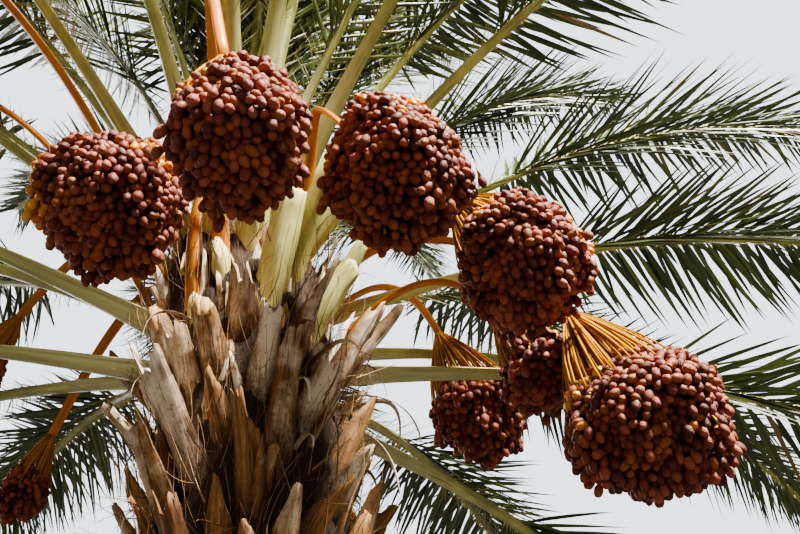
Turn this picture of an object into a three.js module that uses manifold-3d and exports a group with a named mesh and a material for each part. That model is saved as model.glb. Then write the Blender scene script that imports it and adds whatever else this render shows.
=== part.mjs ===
// Date palm tree in fruit, in millimetres, +Z up.
// The origin is the middle of the flat cut under the trunk, at ground level.
// The crown is one spiral of leaves: the youngest stand round the bud, the next are the
// fronds, the oldest on the picking side are cut green stubs, and below them the same spiral
// runs on down the trunk as dry boots, the stumps of leaves cut in earlier years.

import * as THREE from 'three';
import { mergeVertices } from 'three/addons/utils/BufferGeometryUtils.js';
import Module from 'manifold-3d';

// Trunk
const TRUNK_HEIGHT = 3750;
const SHOULDER_HEIGHT = 3250;
const DOME_RISE = 50;
const TRUNK_LEAN = 260;
const LEAN_POWER = 1.8;
const FOOT_RADIUS = 262;
const TOP_RADIUS = 225;
const FLARE = 120;
const FLARE_HEIGHT = 160;
const TRUNK_SIDES = 12;
const TRUNK_LEVELS = [0, 90, 260, 700, 1700, 2600, 3250, 3450, 3600, 3700, 3750];

// The spiral of leaves
const GOLDEN_ANGLE = 137.508;
const FIRST_TURN = 327;
const LEAF_COUNT = 58;
const HEART_LEAVES = 16;
const HEART_RADIUS = 75;
const CROWN_FOOT = 3120;
const PICKING_SIDE = -80;
const PICKING_SPREAD = 65;
const PICKED_FROM = 0.5;

// Fronds
const FROND_LENGTH = 3300;
const LEAF_START = 0.28;
const RIB_WIDTH = [[0, 112], [0.06, 84], [0.16, 58], [0.5, 32], [1, 9]];
const RIB_DEPTH = [[0, 44], [0.06, 36], [0.16, 28], [0.5, 18], [1, 7]];
const LEAFLET_LENGTH = [[0, 250], [0.18, 400], [0.55, 410], [1, 220]];
const FROND_STEPS = 13;
const HEART_STEPS = 6;
const SINK = 40;
const GAP = 0.35;
const LEAFLET_ROOM = 1.2;

// Boots: the dry stumps on the trunk, and the green stubs among the lowest fronds
const BOOT_STEP = 29;
const BOOT_LOWEST = 95;
const BOOT_WIDTH = 128;
const BOOT_TIP_WIDTH = 92;
const BOOT_DEPTH = 58;
const BOOT_TIP_DEPTH = 30;
const BOOT_SHORT = 85;
const BOOT_LONG = 300;
const STUB_LONG = 330;

// Fruit bunches: the leaf whose axil bears it, azimuth in degrees, reach from the trunk's axis,
// height of the middle and width. A bunch may have its own neck reach, tilt and azimuth of tilt.
const BUNCHES = [
  { leaf: 53, azimuth: -124, reach: 524, height: 3404, width: 424, arch: 1.1 },
  { leaf: 45, azimuth: -85, reach: 804, height: 3285, width: 376, tilt: 14, toward: 150, arch: 1.4 },
  { leaf: 42, azimuth: -49.5, reach: 682, height: 3433, width: 424, arch: 1.2 },
  { leaf: 47, azimuth: -19.4, reach: 817, height: 3334, width: 396 },
  { leaf: 44, azimuth: 36, reach: 866, height: 3336, width: 358 },
  { leaf: 52, azimuth: 6.1, reach: 849, height: 3220, width: 286 },
  { leaf: 39, azimuth: -10.2, reach: 1029, height: 2899, width: 436, neck: 1.92, tilt: 24, toward: 145 },
  { leaf: 38, azimuth: 137.6, reach: 1116, height: 3175, width: 190 },
  { leaf: 30, azimuth: 158.3, reach: 953, height: 3388, width: 200 },
  { leaf: 49, azimuth: 79, reach: 900, height: 2960, width: 370 },
  { leaf: 54, azimuth: 111, reach: 880, height: 2910, width: 360 },
  { leaf: 51, azimuth: 206, reach: 1300, height: 3450, width: 360 },
  { leaf: 48, azimuth: 222, reach: 1600, height: 3750, width: 360, arch: 0.35 },
];
const BUNCH_TILT = 34;
const BUNCH_TALL = 1.04;
const NECK_REACH = 1.5;
const NECK_RADIUS = 26;
const STALK_WIDTH = [[0, 48], [0.5, 36], [1, 30]];
const STALK_DEPTH = [[0, 22], [0.5, 18], [1, 16]];
const STALK_STEPS = 8;
const STALK_RISE = 58;
const STALK_ARCH = 0.5;
const ARCHED_RISE = 72;
const AXIL_RISE = 62;

const wasm = await Module();
wasm.setup();

// Small helpers

const radians = Math.PI / 180;

function cosine(degrees) {
  return Math.cos(degrees * radians);
}

function sine(degrees) {
  return Math.sin(degrees * radians);
}

// A repeatable number from 0 to 1 for leaf a and use b
function chance(a, b) {
  const v = Math.sin(a * 12.9898 + b * 78.233) * 43758.5453;
  return v - Math.floor(v);
}

// A value read off a short table of [place, value] pairs
function along(table, place) {
  if (place <= table[0][0]) return table[0][1];
  for (let k = 1; k < table.length; k += 1) {
    const [a, low] = table[k - 1];
    const [b, high] = table[k];
    if (place <= b) return low + (high - low) * (place - a) / (b - a);
  }
  return table[table.length - 1][1];
}

function vector(x, y, z) {
  return new THREE.Vector3(x, y, z);
}

function add(point, ...pairs) {
  const out = point.clone();
  for (let k = 0; k < pairs.length; k += 2) out.addScaledVector(pairs[k], pairs[k + 1]);
  return out;
}

// The trunk's axis and radius

function trunkAxis(z) {
  return -TRUNK_LEAN * Math.pow(Math.max(z, 0) / TRUNK_HEIGHT, LEAN_POWER);
}

function trunkRadius(z) {
  const taper = FOOT_RADIUS + (TOP_RADIUS - FOOT_RADIUS) * z / TRUNK_HEIGHT;
  const flare = FLARE * Math.exp(-z / FLARE_HEIGHT);
  const dome = Math.max(0, (z - SHOULDER_HEIGHT) / (TRUNK_HEIGHT + DOME_RISE - SHOULDER_HEIGHT));
  return (taper + flare) * Math.sqrt(1 - dome * dome);
}

// Closed meshes

function solid(points, triangles) {
  const geometry = new THREE.BufferGeometry();
  geometry.setAttribute('position', new THREE.Float32BufferAttribute(points.flatMap((p) => [p.x, p.y, p.z]), 3));
  geometry.setIndex(triangles.flat());
  return solidOf(geometry);
}

function solidOf(geometry) {
  const bare = geometry.clone();
  bare.deleteAttribute('normal');
  bare.deleteAttribute('uv');
  const merged = mergeVertices(bare, 1e-3);
  return new wasm.Manifold(new wasm.Mesh({
    numProp: 3,
    vertProperties: new Float32Array(merged.attributes.position.array),
    triVerts: new Uint32Array(merged.index.array),
  }));
}

function geometryOf(manifold) {
  const mesh = manifold.getMesh();
  const geometry = new THREE.BufferGeometry();
  geometry.setAttribute('position', new THREE.Float32BufferAttribute(mesh.vertProperties, 3));
  geometry.setIndex(Array.from(mesh.triVerts));
  geometry.computeVertexNormals();
  return geometry;
}

// The largest piece with its sealed hollows filled
function largest(manifold) {
  let best = manifold;
  let volume = 0;
  for (const piece of manifold.decompose()) {
    const size = piece.volume();
    if (size > volume) {
      volume = size;
      best = piece;
    }
  }
  return best;
}

function join(pieces) {
  let list = pieces;
  while (list.length > 1) {
    const next = [];
    for (let k = 0; k < list.length; k += 2) {
      next.push(k + 1 < list.length ? list[k].add(list[k + 1]) : list[k]);
    }
    list = next;
  }
  return list[0];
}

// A four-cornered bar through a row of sections. tips[k][side] draws that side of stretch k out
// to a point, which makes a leaflet; end closes the bar in a point.
function bar(sections, tips, end) {
  const points = sections.flat();
  const triangles = [];
  for (let k = 0; k + 1 < sections.length; k += 1) {
    for (let side = 0; side < 4; side += 1) {
      const next = (side + 1) % 4;
      const a = 4 * k + side;
      const b = 4 * k + next;
      const c = 4 * k + 4 + next;
      const d = 4 * k + 4 + side;
      const tip = tips && tips[k] && tips[k][side];
      if (tip) {
        const t = points.push(tip) - 1;
        triangles.push([a, b, t], [b, c, t], [c, d, t], [d, a, t]);
      } else {
        triangles.push([a, b, c], [a, c, d]);
      }
    }
  }
  const last = 4 * (sections.length - 1);
  triangles.push([0, 2, 1], [0, 3, 2]);
  if (end) {
    const t = points.push(end) - 1;
    for (let side = 0; side < 4; side += 1) triangles.push([last + side, last + (side + 1) % 4, t]);
  } else {
    triangles.push([last, last + 1, last + 2], [last, last + 2, last + 3]);
  }
  return solid(points, triangles);
}

// Directions of a limb that rises by the angle rise towards azimuth, turned by roll about itself
function frame(azimuth, rise, roll) {
  const ahead = vector(cosine(rise) * cosine(azimuth), cosine(rise) * sine(azimuth), sine(rise));
  const side = vector(-sine(azimuth), cosine(azimuth), 0).applyAxisAngle(ahead, roll * radians);
  const up = ahead.clone().cross(side);
  return { ahead, side, up };
}

function corners(point, { side, up }, width, depth) {
  const w = width / 2;
  const d = depth / 2;
  return [
    add(point, side, -w, up, -d), add(point, side, w, up, -d),
    add(point, side, w, up, d), add(point, side, -w, up, d),
  ];
}

// Leaf number i of the crown's spiral, counted from the bud
function leafAt(i) {
  const age = i / (LEAF_COUNT - 1);
  const inHeart = i < HEART_LEAVES;
  const fall = (TRUNK_HEIGHT - CROWN_FOOT) * (i - HEART_LEAVES + 1) / (LEAF_COUNT - HEART_LEAVES);
  const height = inHeart ? TRUNK_HEIGHT + 30 : TRUNK_HEIGHT - fall;
  return {
    number: i,
    age,
    height,
    azimuth: FIRST_TURN - i * GOLDEN_ANGLE,
    rise: 87 - 80 * Math.pow(age, 1.15) + 6 * (chance(i, 1) - 0.5),
    bend: 22 + 30 * age + 10 * (chance(i, 2) - 0.5),
    length: FROND_LENGTH * Math.min(1, 0.6 + 2.4 * age) * (0.94 + 0.12 * chance(i, 3)),
    radius: inHeart ? HEART_RADIUS * Math.sqrt((i + 0.5) / HEART_LEAVES) : trunkRadius(height),
    sway: 8 * (chance(i, 4) - 0.5),
    twist: 90 * (chance(i, 5) - 0.5),
  };
}

// Points and frames along a leaf's rib at the given places, from 0 at the trunk to 1 at the tip
function ribPath(leaf, places) {
  const fine = 48;
  const out = [];
  let point = vector(
    trunkAxis(leaf.height) + leaf.radius * cosine(leaf.azimuth), leaf.radius * sine(leaf.azimuth), leaf.height,
  );
  let done = 0;
  for (const place of places) {
    const steps = Math.max(1, Math.round((place - done) * fine));
    const stride = (place - done) / steps;
    for (let k = 0; k < steps && stride > 0; k += 1) {
      const middle = done + (k + 0.5) * stride;
      const way = frame(leaf.azimuth + leaf.sway * middle, leaf.rise - leaf.bend * Math.pow(middle, 1.4), 0);
      point = add(point, way.ahead, stride * leaf.length);
    }
    done = Math.max(done, place);
    const turned = frame(
      leaf.azimuth + leaf.sway * done, leaf.rise - leaf.bend * Math.pow(done, 1.4), leaf.twist * Math.pow(done, 1.5),
    );
    out.push({ place, point, way: turned });
  }
  return out;
}

function evenPlaces(from, to, steps) {
  return Array.from({ length: steps + 1 }, (_, k) => from + (to - from) * k / steps);
}

// Bunches and their stalks

function azimuthGap(a, b) {
  return Math.abs(((a - b + 180) % 360 + 360) % 360 - 180);
}

function bunchAt(spec) {
  const radius = spec.width / 2;
  const middle = vector(
    trunkAxis(spec.height) + spec.reach * cosine(spec.azimuth), spec.reach * sine(spec.azimuth), spec.height,
  );
  const tall = radius * (spec.width < 250 ? 1.35 : BUNCH_TALL);
  const tilt = spec.tilt ?? BUNCH_TILT;
  const axis = frame(spec.toward ?? spec.azimuth + 180, 90 - tilt, 0).ahead;
  const neckReach = spec.neck ?? NECK_REACH;
  const neck = add(middle, axis, tall * neckReach);
  const leaf = leafAt(spec.leaf);
  const height = leaf.height + AXIL_RISE;
  const reach = trunkRadius(height);
  const foot = vector(
    trunkAxis(height) + reach * cosine(leaf.azimuth), reach * sine(leaf.azimuth), height,
  );
  const span = foot.distanceTo(neck);
  const arch = spec.arch ?? STALK_ARCH;
  const start = frame(leaf.azimuth, spec.arch ? ARCHED_RISE : STALK_RISE, 0);
  const curve = new THREE.CubicBezierCurve3(
    foot, add(foot, start.ahead, arch * span), add(neck, axis, 1.2 * arch * span), add(neck, axis, 0.3),
  );
  return { ...spec, radius, tall, middle, axis, neckReach, neck, curve };
}

function stalkSections(bunch, grow) {
  const out = [];
  const side = vector(0, 0, 1).cross(bunch.curve.getTangent(0));
  for (const t of [-1, ...evenPlaces(0, 1, STALK_STEPS)]) {
    const place = Math.max(t, 0);
    const ahead = bunch.curve.getTangent(place);
    side.addScaledVector(ahead, -side.dot(ahead)).normalize();
    const up = ahead.clone().cross(side);
    const point = bunch.curve.getPoint(place);
    if (t < 0) point.addScaledVector(ahead, -SINK);
    out.push(corners(point, { side, up }, along(STALK_WIDTH, place) + grow, along(STALK_DEPTH, place) + grow));
  }
  return out;
}

// A rib clears a bunch, its neck and its stalk, or it swings aside until it does
function bunchDistance(bunch, point) {
  const out = point.clone().sub(bunch.middle);
  const level = out.dot(bunch.axis);
  const flat = Math.sqrt(Math.max(0, out.lengthSq() - level * level));
  const round = (Math.hypot(flat / bunch.radius, level / bunch.tall) - 1) * bunch.radius;
  const cone = level > 0 && level < bunch.tall * bunch.neckReach
    ? flat - 0.62 * bunch.radius * (1 - level / (bunch.tall * bunch.neckReach)) - NECK_RADIUS
    : 1e9;
  return Math.min(round, cone);
}

function ribClear(leaf, bunches, stalks, ribs) {
  const path = ribPath(leaf, evenPlaces(0.02, 1, 49));
  for (const { place, point } of path) {
    const half = along(RIB_WIDTH, place) / 2;
    for (const bunch of bunches) {
      if (bunchDistance(bunch, point) < half + 14) return false;
    }
    if (place > 0.03) {
      for (const stalk of stalks) {
        for (const other of stalk) {
          if (point.distanceTo(other) < half + 22) return false;
        }
      }
    }
    if (place > 0.12) {
      for (const rib of ribs) {
        for (const other of rib) {
          if (point.distanceTo(other.point) < half + along(RIB_WIDTH, other.place) / 2 + 2) return false;
        }
      }
    }
  }
  return true;
}

function isPicked(leaf) {
  return leaf.age > PICKED_FROM && azimuthGap(leaf.azimuth, PICKING_SIDE) < PICKING_SPREAD;
}

function placeFronds(bunches) {
  const stalks = bunches.map((bunch) => bunch.curve.getPoints(24));
  const ribs = [];
  const fronds = [];
  for (let i = HEART_LEAVES; i < LEAF_COUNT; i += 1) {
    const leaf = leafAt(i);
    if (isPicked(leaf)) continue;
    const home = leaf.azimuth;
    for (let k = 0; k < 17; k += 1) {
      leaf.azimuth = home + 2.5 * Math.ceil(k / 2) * (k % 2 ? 1 : -1);
      leaf.swung = leaf.azimuth - home;
      if (ribClear(leaf, bunches, stalks, ribs)) break;
      leaf.swung = null;
    }
    if (leaf.swung === null) leaf.azimuth = home;
    fronds.push(leaf);
    ribs.push(ribPath(leaf, evenPlaces(0.02, 1, 49)));
  }
  return fronds;
}

// A frond: its rib, and a row of leaflets down each side in two ranks

function frondPlaces(steps) {
  return [0, 0.06, 0.16, ...evenPlaces(LEAF_START, 0.955, steps)];
}

function ribSections(leaf, steps, grow, slim) {
  const stops = ribPath(leaf, frondPlaces(steps));
  const sections = stops.map(({ place, point, way }) => corners(
    point, way, along(RIB_WIDTH, place) * slim + grow, along(RIB_DEPTH, place) * slim + grow,
  ));
  const first = stops[0];
  sections.unshift(corners(
    add(first.point, first.way.ahead, -SINK), first.way, RIB_WIDTH[0][1] * slim + grow, RIB_DEPTH[0][1] * slim + grow,
  ));
  const end = ribPath(leaf, [0, 1])[1];
  return { stops, sections, end: add(end.point, end.way.ahead, 40) };
}

function leafletTip(leaf, stop, next, side, rank, scale) {
  const place = (stop.place + next.place) / 2;
  const out = (place - LEAF_START) / (1 - LEAF_START);
  const length = along(LEAFLET_LENGTH, out) * leaf.length / FROND_LENGTH * scale;
  const spread = 52 - 26 * out;
  const lift = rank ? 28 : -6;
  const middle = stop.point.clone().add(next.point).multiplyScalar(0.5);
  return add(
    middle, stop.way.ahead, length * cosine(spread),
    stop.way.side, side * length * sine(spread) * cosine(lift),
    stop.way.up, length * sine(spread) * sine(lift),
  );
}

function leafletSolid(a, b, side, tip) {
  const base = side > 0 ? [a[1], a[2], b[2], b[1]] : [a[3], a[0], b[0], b[3]];
  return solid([...base, tip], [[0, 2, 1], [0, 3, 2], [0, 1, 4], [1, 2, 4], [2, 3, 4], [3, 0, 4]]);
}

function boxesMeet(a, b, room) {
  for (let k = 0; k < 3; k += 1) {
    if (a.min[k] > b.max[k] + room || b.min[k] > a.max[k] + room) return false;
  }
  return true;
}

// Leaflets are drawn in until they touch no other part, or are left out
function growFrond(leaf, steps, slim, others) {
  const { stops, sections, end } = ribSections(leaf, steps, 0, slim);
  const tips = [];
  const first = sections.length - 1 - steps;
  for (let k = first; k < sections.length - 1; k += 1) {
    tips[k] = [];
    for (const side of [1, -1]) {
      const rank = (k + (side > 0 ? 0 : 1)) % 2;
      for (const scale of [1, 0.8, 0.6, 0.42]) {
        const tip = leafletTip(leaf, stops[k - 1], stops[k], side, rank, scale);
        const trial = leafletSolid(sections[k], sections[k + 1], side, tip);
        const box = trial.boundingBox();
        const near = others.filter((other) => boxesMeet(box, other.box, LEAFLET_ROOM));
        if (near.every((other) => trial.minGap(other.body, LEAFLET_ROOM * 1.5) > LEAFLET_ROOM)) {
          tips[k][side > 0 ? 1 : 3] = tip;
          break;
        }
      }
    }
  }
  return bar(sections, tips, end);
}

// The trunk's core, and the same core a little larger to cut the seats of what stands on it
function trunkCore(grow) {
  const points = [];
  const triangles = [];
  for (const z of TRUNK_LEVELS) {
    for (let k = 0; k < TRUNK_SIDES; k += 1) {
      const turn = 360 * k / TRUNK_SIDES;
      const radius = trunkRadius(z) + grow;
      points.push(vector(trunkAxis(z) + radius * cosine(turn), radius * sine(turn), z + (z >= TRUNK_HEIGHT ? grow : 0)));
    }
  }
  const top = TRUNK_LEVELS.length - 1;
  for (let level = 0; level < top; level += 1) {
    for (let k = 0; k < TRUNK_SIDES; k += 1) {
      const a = level * TRUNK_SIDES + k;
      const b = level * TRUNK_SIDES + (k + 1) % TRUNK_SIDES;
      triangles.push([a, b, b + TRUNK_SIDES], [a, b + TRUNK_SIDES, a + TRUNK_SIDES]);
    }
  }
  for (let k = 1; k + 1 < TRUNK_SIDES; k += 1) {
    triangles.push([0, k + 1, k], [top * TRUNK_SIDES, top * TRUNK_SIDES + k, top * TRUNK_SIDES + k + 1]);
  }
  return solid(points, triangles);
}

// Boots and stubs

function smooth(from, to, value) {
  const t = Math.min(1, Math.max(0, (value - from) / (to - from)));
  return t * t * (3 - 2 * t);
}

function bootPlaces() {
  const boots = [];
  for (let i = HEART_LEAVES; i < LEAF_COUNT; i += 1) {
    const leaf = leafAt(i);
    if (isPicked(leaf)) {
      boots.push({
        number: i, height: leaf.height, azimuth: leaf.azimuth, green: true,
        length: STUB_LONG * (0.85 + 0.3 * chance(i, 11)), splay: 24 + 10 * chance(i, 12),
      });
    }
  }
  for (let i = LEAF_COUNT; ; i += 1) {
    const height = CROWN_FOOT - BOOT_STEP * (i - LEAF_COUNT + 1);
    if (height < BOOT_LOWEST) break;
    const reach = BOOT_SHORT + (BOOT_LONG - BOOT_SHORT) * smooth(1300, 2500, height);
    boots.push({
      number: i, height, azimuth: FIRST_TURN - i * GOLDEN_ANGLE + 6 * (chance(i, 13) - 0.5), green: false,
      length: reach * (0.8 + 0.4 * chance(i, 11)), splay: 24 + 16 * chance(i, 12),
    });
  }
  return boots;
}

function bootSolid(boot) {
  const way = frame(boot.azimuth, 90 - boot.splay, 14 * (chance(boot.number, 14) - 0.5));
  const radius = trunkRadius(boot.height) - 0.35 * BOOT_DEPTH;
  const foot = vector(
    trunkAxis(boot.height) + radius * cosine(boot.azimuth), radius * sine(boot.azimuth), boot.height,
  );
  const root = corners(add(foot, way.ahead, -0.1 * BOOT_DEPTH), way, BOOT_WIDTH, BOOT_DEPTH);
  const cut = 50 * (chance(boot.number, 15) - 0.35);
  const skew = 36 * (chance(boot.number, 16) - 0.5);
  const tip = corners(add(foot, way.ahead, boot.length), way, BOOT_TIP_WIDTH, BOOT_TIP_DEPTH);
  tip.forEach((corner, k) => {
    corner.addScaledVector(way.ahead, (k >= 2 ? -cut : cut) / 2 + (k === 1 || k === 2 ? skew : -skew) / 2);
  });
  return bar([root, tip]);
}

// A boot is cut back where a bunch hangs against it
function bootShortened(boot, bunches) {
  const way = frame(boot.azimuth, 90 - boot.splay, 0);
  const radius = trunkRadius(boot.height);
  const foot = vector(
    trunkAxis(boot.height) + radius * cosine(boot.azimuth), radius * sine(boot.azimuth), boot.height,
  );
  let length = boot.length;
  while (length > 60 && bunches.some((bunch) => [0.5, 0.75, 1].some(
    (share) => bunchDistance(bunch, add(foot, way.ahead, length * share + 25)) < 72,
  ))) length *= 0.85;
  return { ...boot, length };
}

// Fruit bunches: an egg of fruit that narrows to the neck, where its strands meet the stalk
function bunchSolid(bunch, index) {
  const geometry = new THREE.IcosahedronGeometry(1, bunch.width < 350 || index > 8 ? 1 : 2);
  geometry.deleteAttribute('normal');
  geometry.deleteAttribute('uv');
  const merged = mergeVertices(geometry, 1e-4);
  const place = merged.attributes.position;
  const side = vector(0, 0, 1).cross(bunch.axis).normalize();
  const up = bunch.axis.clone().cross(side);
  const points = [];
  for (let k = 0; k < place.count; k += 1) {
    const x = place.getX(k);
    const y = place.getY(k);
    const z = place.getZ(k);
    const lump = 0.955 + 0.045 * chance(k + 1, 31 + index);
    const narrow = 1 - 0.16 * Math.max(0, z) * Math.max(0, z);
    points.push(add(
      bunch.middle, side, x * bunch.radius * lump * narrow,
      up, y * bunch.radius * lump * narrow, bunch.axis, z * bunch.tall * lump,
    ));
  }
  const triangles = [];
  for (let k = 0; k < merged.index.count; k += 3) {
    triangles.push([merged.index.getX(k), merged.index.getX(k + 1), merged.index.getX(k + 2)]);
  }
  const egg = solid(points, triangles);
  const rings = [[0.45, 0.66 * bunch.radius], [1.05, 0.4 * bunch.radius], [bunch.neckReach, NECK_RADIUS]];
  const cone = [];
  for (const [level, width] of rings) {
    for (let k = 0; k < 8; k += 1) {
      const centre = add(bunch.middle, bunch.axis, level * bunch.tall);
      cone.push(add(centre, side, width * cosine(45 * k), up, width * sine(45 * k)));
    }
  }
  const faces = [];
  for (let k = 0; k < 8; k += 1) {
    const next = (k + 1) % 8;
    for (const base of [0, 8]) {
      faces.push([base + k, base + next, base + 8 + next], [base + k, base + 8 + next, base + 8 + k]);
    }
    if (k > 0 && k < 7) faces.push([0, k + 1, k], [16, 16 + k, 17 + k]);
  }
  return largest(egg.add(solid(cone, faces)));
}

// The heart: the youngest leaves, not yet spread, fused round the bud
function heartSolid(others) {
  const axis = trunkAxis(TRUNK_HEIGHT);
  const bud = [[TRUNK_HEIGHT + GAP, 88], [TRUNK_HEIGHT + 120, 80], [TRUNK_HEIGHT + 330, 34]].map(([z, r]) => corners(
    vector(axis, 0, z), { side: vector(1, 0, 0), up: vector(0, 1, 0) }, r * 1.7, r * 1.7,
  ));
  const pieces = [bar(bud)];
  for (let i = 0; i < HEART_LEAVES; i += 1) {
    pieces.push(growFrond(leafAt(i), HEART_STEPS, 0.62, others));
  }
  return join(pieces);
}

// The whole tree

const green = new THREE.MeshStandardMaterial({ color: 0x5d7033, roughness: 0.55, metalness: 0 });
const youngGreen = new THREE.MeshStandardMaterial({ color: 0x7d8c46, roughness: 0.55, metalness: 0 });
const bark = new THREE.MeshStandardMaterial({ color: 0x8a6a48, roughness: 0.9, metalness: 0 });
const fruit = new THREE.MeshStandardMaterial({ color: 0x7a3a24, roughness: 0.5, metalness: 0 });
const orange = new THREE.MeshStandardMaterial({ color: 0xc7762a, roughness: 0.5, metalness: 0 });

const palm = new THREE.Group();
palm.name = 'date_palm';

function addMesh(name, body, material) {
  const mesh = new THREE.Mesh(geometryOf(body), material);
  mesh.name = name;
  palm.add(mesh);
}

function twoDigits(number) {
  return String(number).padStart(2, '0');
}

function held(body) {
  return { body, box: body.boundingBox() };
}

const bunches = BUNCHES.map(bunchAt);
const fronds = placeFronds(bunches);
const core = trunkCore(0);
const seat = trunkCore(GAP);

const bunchBodies = bunches.map((bunch, index) => bunchSolid(bunch, index));
const stalkBodies = bunches.map((bunch) => largest(bar(stalkSections(bunch, 0)).subtract(seat)));
const ribBodies = fronds.map((leaf) => {
  const { sections, end } = ribSections(leaf, FROND_STEPS, 0, 1);
  return bar(sections, null, end);
});

const cutters = join([
  ...fronds.map((leaf) => {
    const { sections } = ribSections(leaf, 6, 6, 1);
    return bar(sections.slice(0, 6));
  }),
  ...bunches.map((bunch) => bar(stalkSections(bunch, 6))),
]);
const boots = join(bootPlaces().map((boot) => bootSolid(bootShortened(boot, bunches))));
const trunk = largest(core.add(boots.subtract(cutters)));

addMesh('trunk', trunk, bark);

const settled = [held(trunk), ...bunchBodies.map(held), ...stalkBodies.map(held)];
const ribsHeld = ribBodies.map(held);
const blades = [];

const petioles = fronds.map((leaf) => {
  const { sections } = ribSections(leaf, FROND_STEPS, 2 * GAP, 1);
  return bar(sections.slice(0, 5));
});
const heart = largest(heartSolid([...settled, ...ribsHeld]).subtract(join([seat, ...petioles])));
addMesh('heart', heart, youngGreen);
blades.push(held(heart));

const bases = bunches.map((bunch) => held(bar(stalkSections(bunch, 2 * GAP))));
fronds.forEach((leaf, index) => {
  const others = [...settled, ...ribsHeld.filter((_, k) => k !== index), ...blades];
  let body = growFrond(leaf, FROND_STEPS, 1, others).subtract(seat);
  const box = body.boundingBox();
  for (const base of bases) {
    if (boxesMeet(box, base.box, 0)) body = body.subtract(base.body);
  }
  body = largest(body);
  addMesh(`frond_${twoDigits(index + 1)}`, body, green);
  blades.push(held(body));
  bases.push(held(petioles[index]));
});

bunches.forEach((bunch, index) => {
  addMesh(`stalk_${twoDigits(index + 1)}`, stalkBodies[index], orange);
  addMesh(`bunch_${twoDigits(index + 1)}`, bunchBodies[index], fruit);
});

export default palm;
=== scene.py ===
"""Date palm in fruit: leaning trunk with boots, feather fronds, stalks and bunches of ripe dates."""

import math
from collections import namedtuple

import bpy
import numpy as np
from bpy.props import FloatProperty, FloatVectorProperty, IntProperty, PointerProperty
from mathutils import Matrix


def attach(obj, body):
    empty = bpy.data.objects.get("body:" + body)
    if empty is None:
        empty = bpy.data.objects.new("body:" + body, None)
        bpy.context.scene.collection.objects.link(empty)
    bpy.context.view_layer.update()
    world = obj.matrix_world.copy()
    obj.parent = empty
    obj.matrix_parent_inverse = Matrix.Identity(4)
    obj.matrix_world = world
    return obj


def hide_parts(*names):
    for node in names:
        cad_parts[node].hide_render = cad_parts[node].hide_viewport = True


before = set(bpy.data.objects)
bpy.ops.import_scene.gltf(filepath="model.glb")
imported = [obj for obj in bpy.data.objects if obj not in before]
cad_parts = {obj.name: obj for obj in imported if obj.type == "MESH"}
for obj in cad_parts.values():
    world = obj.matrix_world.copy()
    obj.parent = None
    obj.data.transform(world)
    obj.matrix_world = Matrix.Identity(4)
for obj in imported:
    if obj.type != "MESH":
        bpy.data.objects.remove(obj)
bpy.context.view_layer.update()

bl_info = {
    "name": "Date palm",
    "version": (1, 0, 0),
    "blender": (4, 5, 0),
    "location": "View3D > Sidebar > Date palm",
    "description": "Builds a fruiting date palm: trunk, boots, fronds, stalks, bunches and stage",
    "category": "Object",
}

# Sizes that the tree's rule needs, in metres and degrees. A size given as pairs is a table of
# (place, value) rows, read off between its rows.

# Trunk: its axis leans, more so towards the top; it has a flare at its foot and a low dome

TRUNK_HEIGHT = 3.75
SHOULDER_HEIGHT = 3.25
DOME_RISE = 0.05
TRUNK_LEAN = 0.26
LEAN_POWER = 1.8
FOOT_RADIUS = 0.262
TOP_RADIUS = 0.225
FLARE = 0.12
FLARE_HEIGHT = 0.16

# The spiral of leaves, counted from the bud, and the side on which old leaves are cut to stubs

GOLDEN_ANGLE = 137.508
FIRST_TURN = 327
LEAF_COUNT = 58
HEART_LEAVES = 16
HEART_RADIUS = 0.075
HEART_LIFT = 0.03
CROWN_FOOT = 3.12
PICKING_SIDE = -80
PICKING_SPREAD = 65
PICKED_FROM = 0.5

# Leaves: how steeply a rib starts, how it bends and twists, and how thick it is from foot to tip

BUD_RISE = 87
RISE_FALL = 80
RISE_POWER = 1.15
BEND_YOUNG = 22
BEND_GAIN = 30
BEND_POWER = 1.4
TWIST_POWER = 1.5
FROND_LENGTH = 3.3
RIB_STEPS = 96
RIB_WIDTH = ((0, 0.112), (0.06, 0.084), (0.16, 0.058), (0.5, 0.032), (1, 0.009))
RIB_DEPTH = ((0, 0.044), (0.06, 0.036), (0.16, 0.028), (0.5, 0.018), (1, 0.007))
LEAF_START = 0.28
HEART_LEAF_START = 0.17
LEAFLET_LENGTH = ((0, 0.25), (0.18, 0.40), (0.55, 0.41), (1, 0.22))

# Room that ribs keep from fruit, stalks and each other, the shares of a rib near its foot where stalks
# and other ribs don't count, and how it swings aside to find room

RIB_PLACES = np.linspace(0.02, 1, 50)
BUNCH_GAP = 0.014
STALK_GAP = 0.022
RIB_GAP = 0.002
PAST_STALKS = 0.03
PAST_RIBS = 0.12
SWING_STEP = 2.5
SWING_TRIES = 17

# Boots: the feet of old leaves, further down the same spiral

BOOT_STEP = 0.029
BOOT_LOWEST = 0.095
BOOT_WIDTH = 0.128
BOOT_TIP_WIDTH = 0.092
BOOT_DEPTH = 0.058
BOOT_TIP_DEPTH = 0.030
BOOT_SHORT = 0.085
BOOT_LONG = 0.30
STUB_LONG = 0.33

# Bunches: the leaf whose axil each one hangs from, its middle as azimuth, reach from the trunk's axis
# and height, its width, and what sets it apart: how far and where its neck is tilted, how far out the
# neck is, how high the stalk arches, and above what level no dates sit

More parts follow.
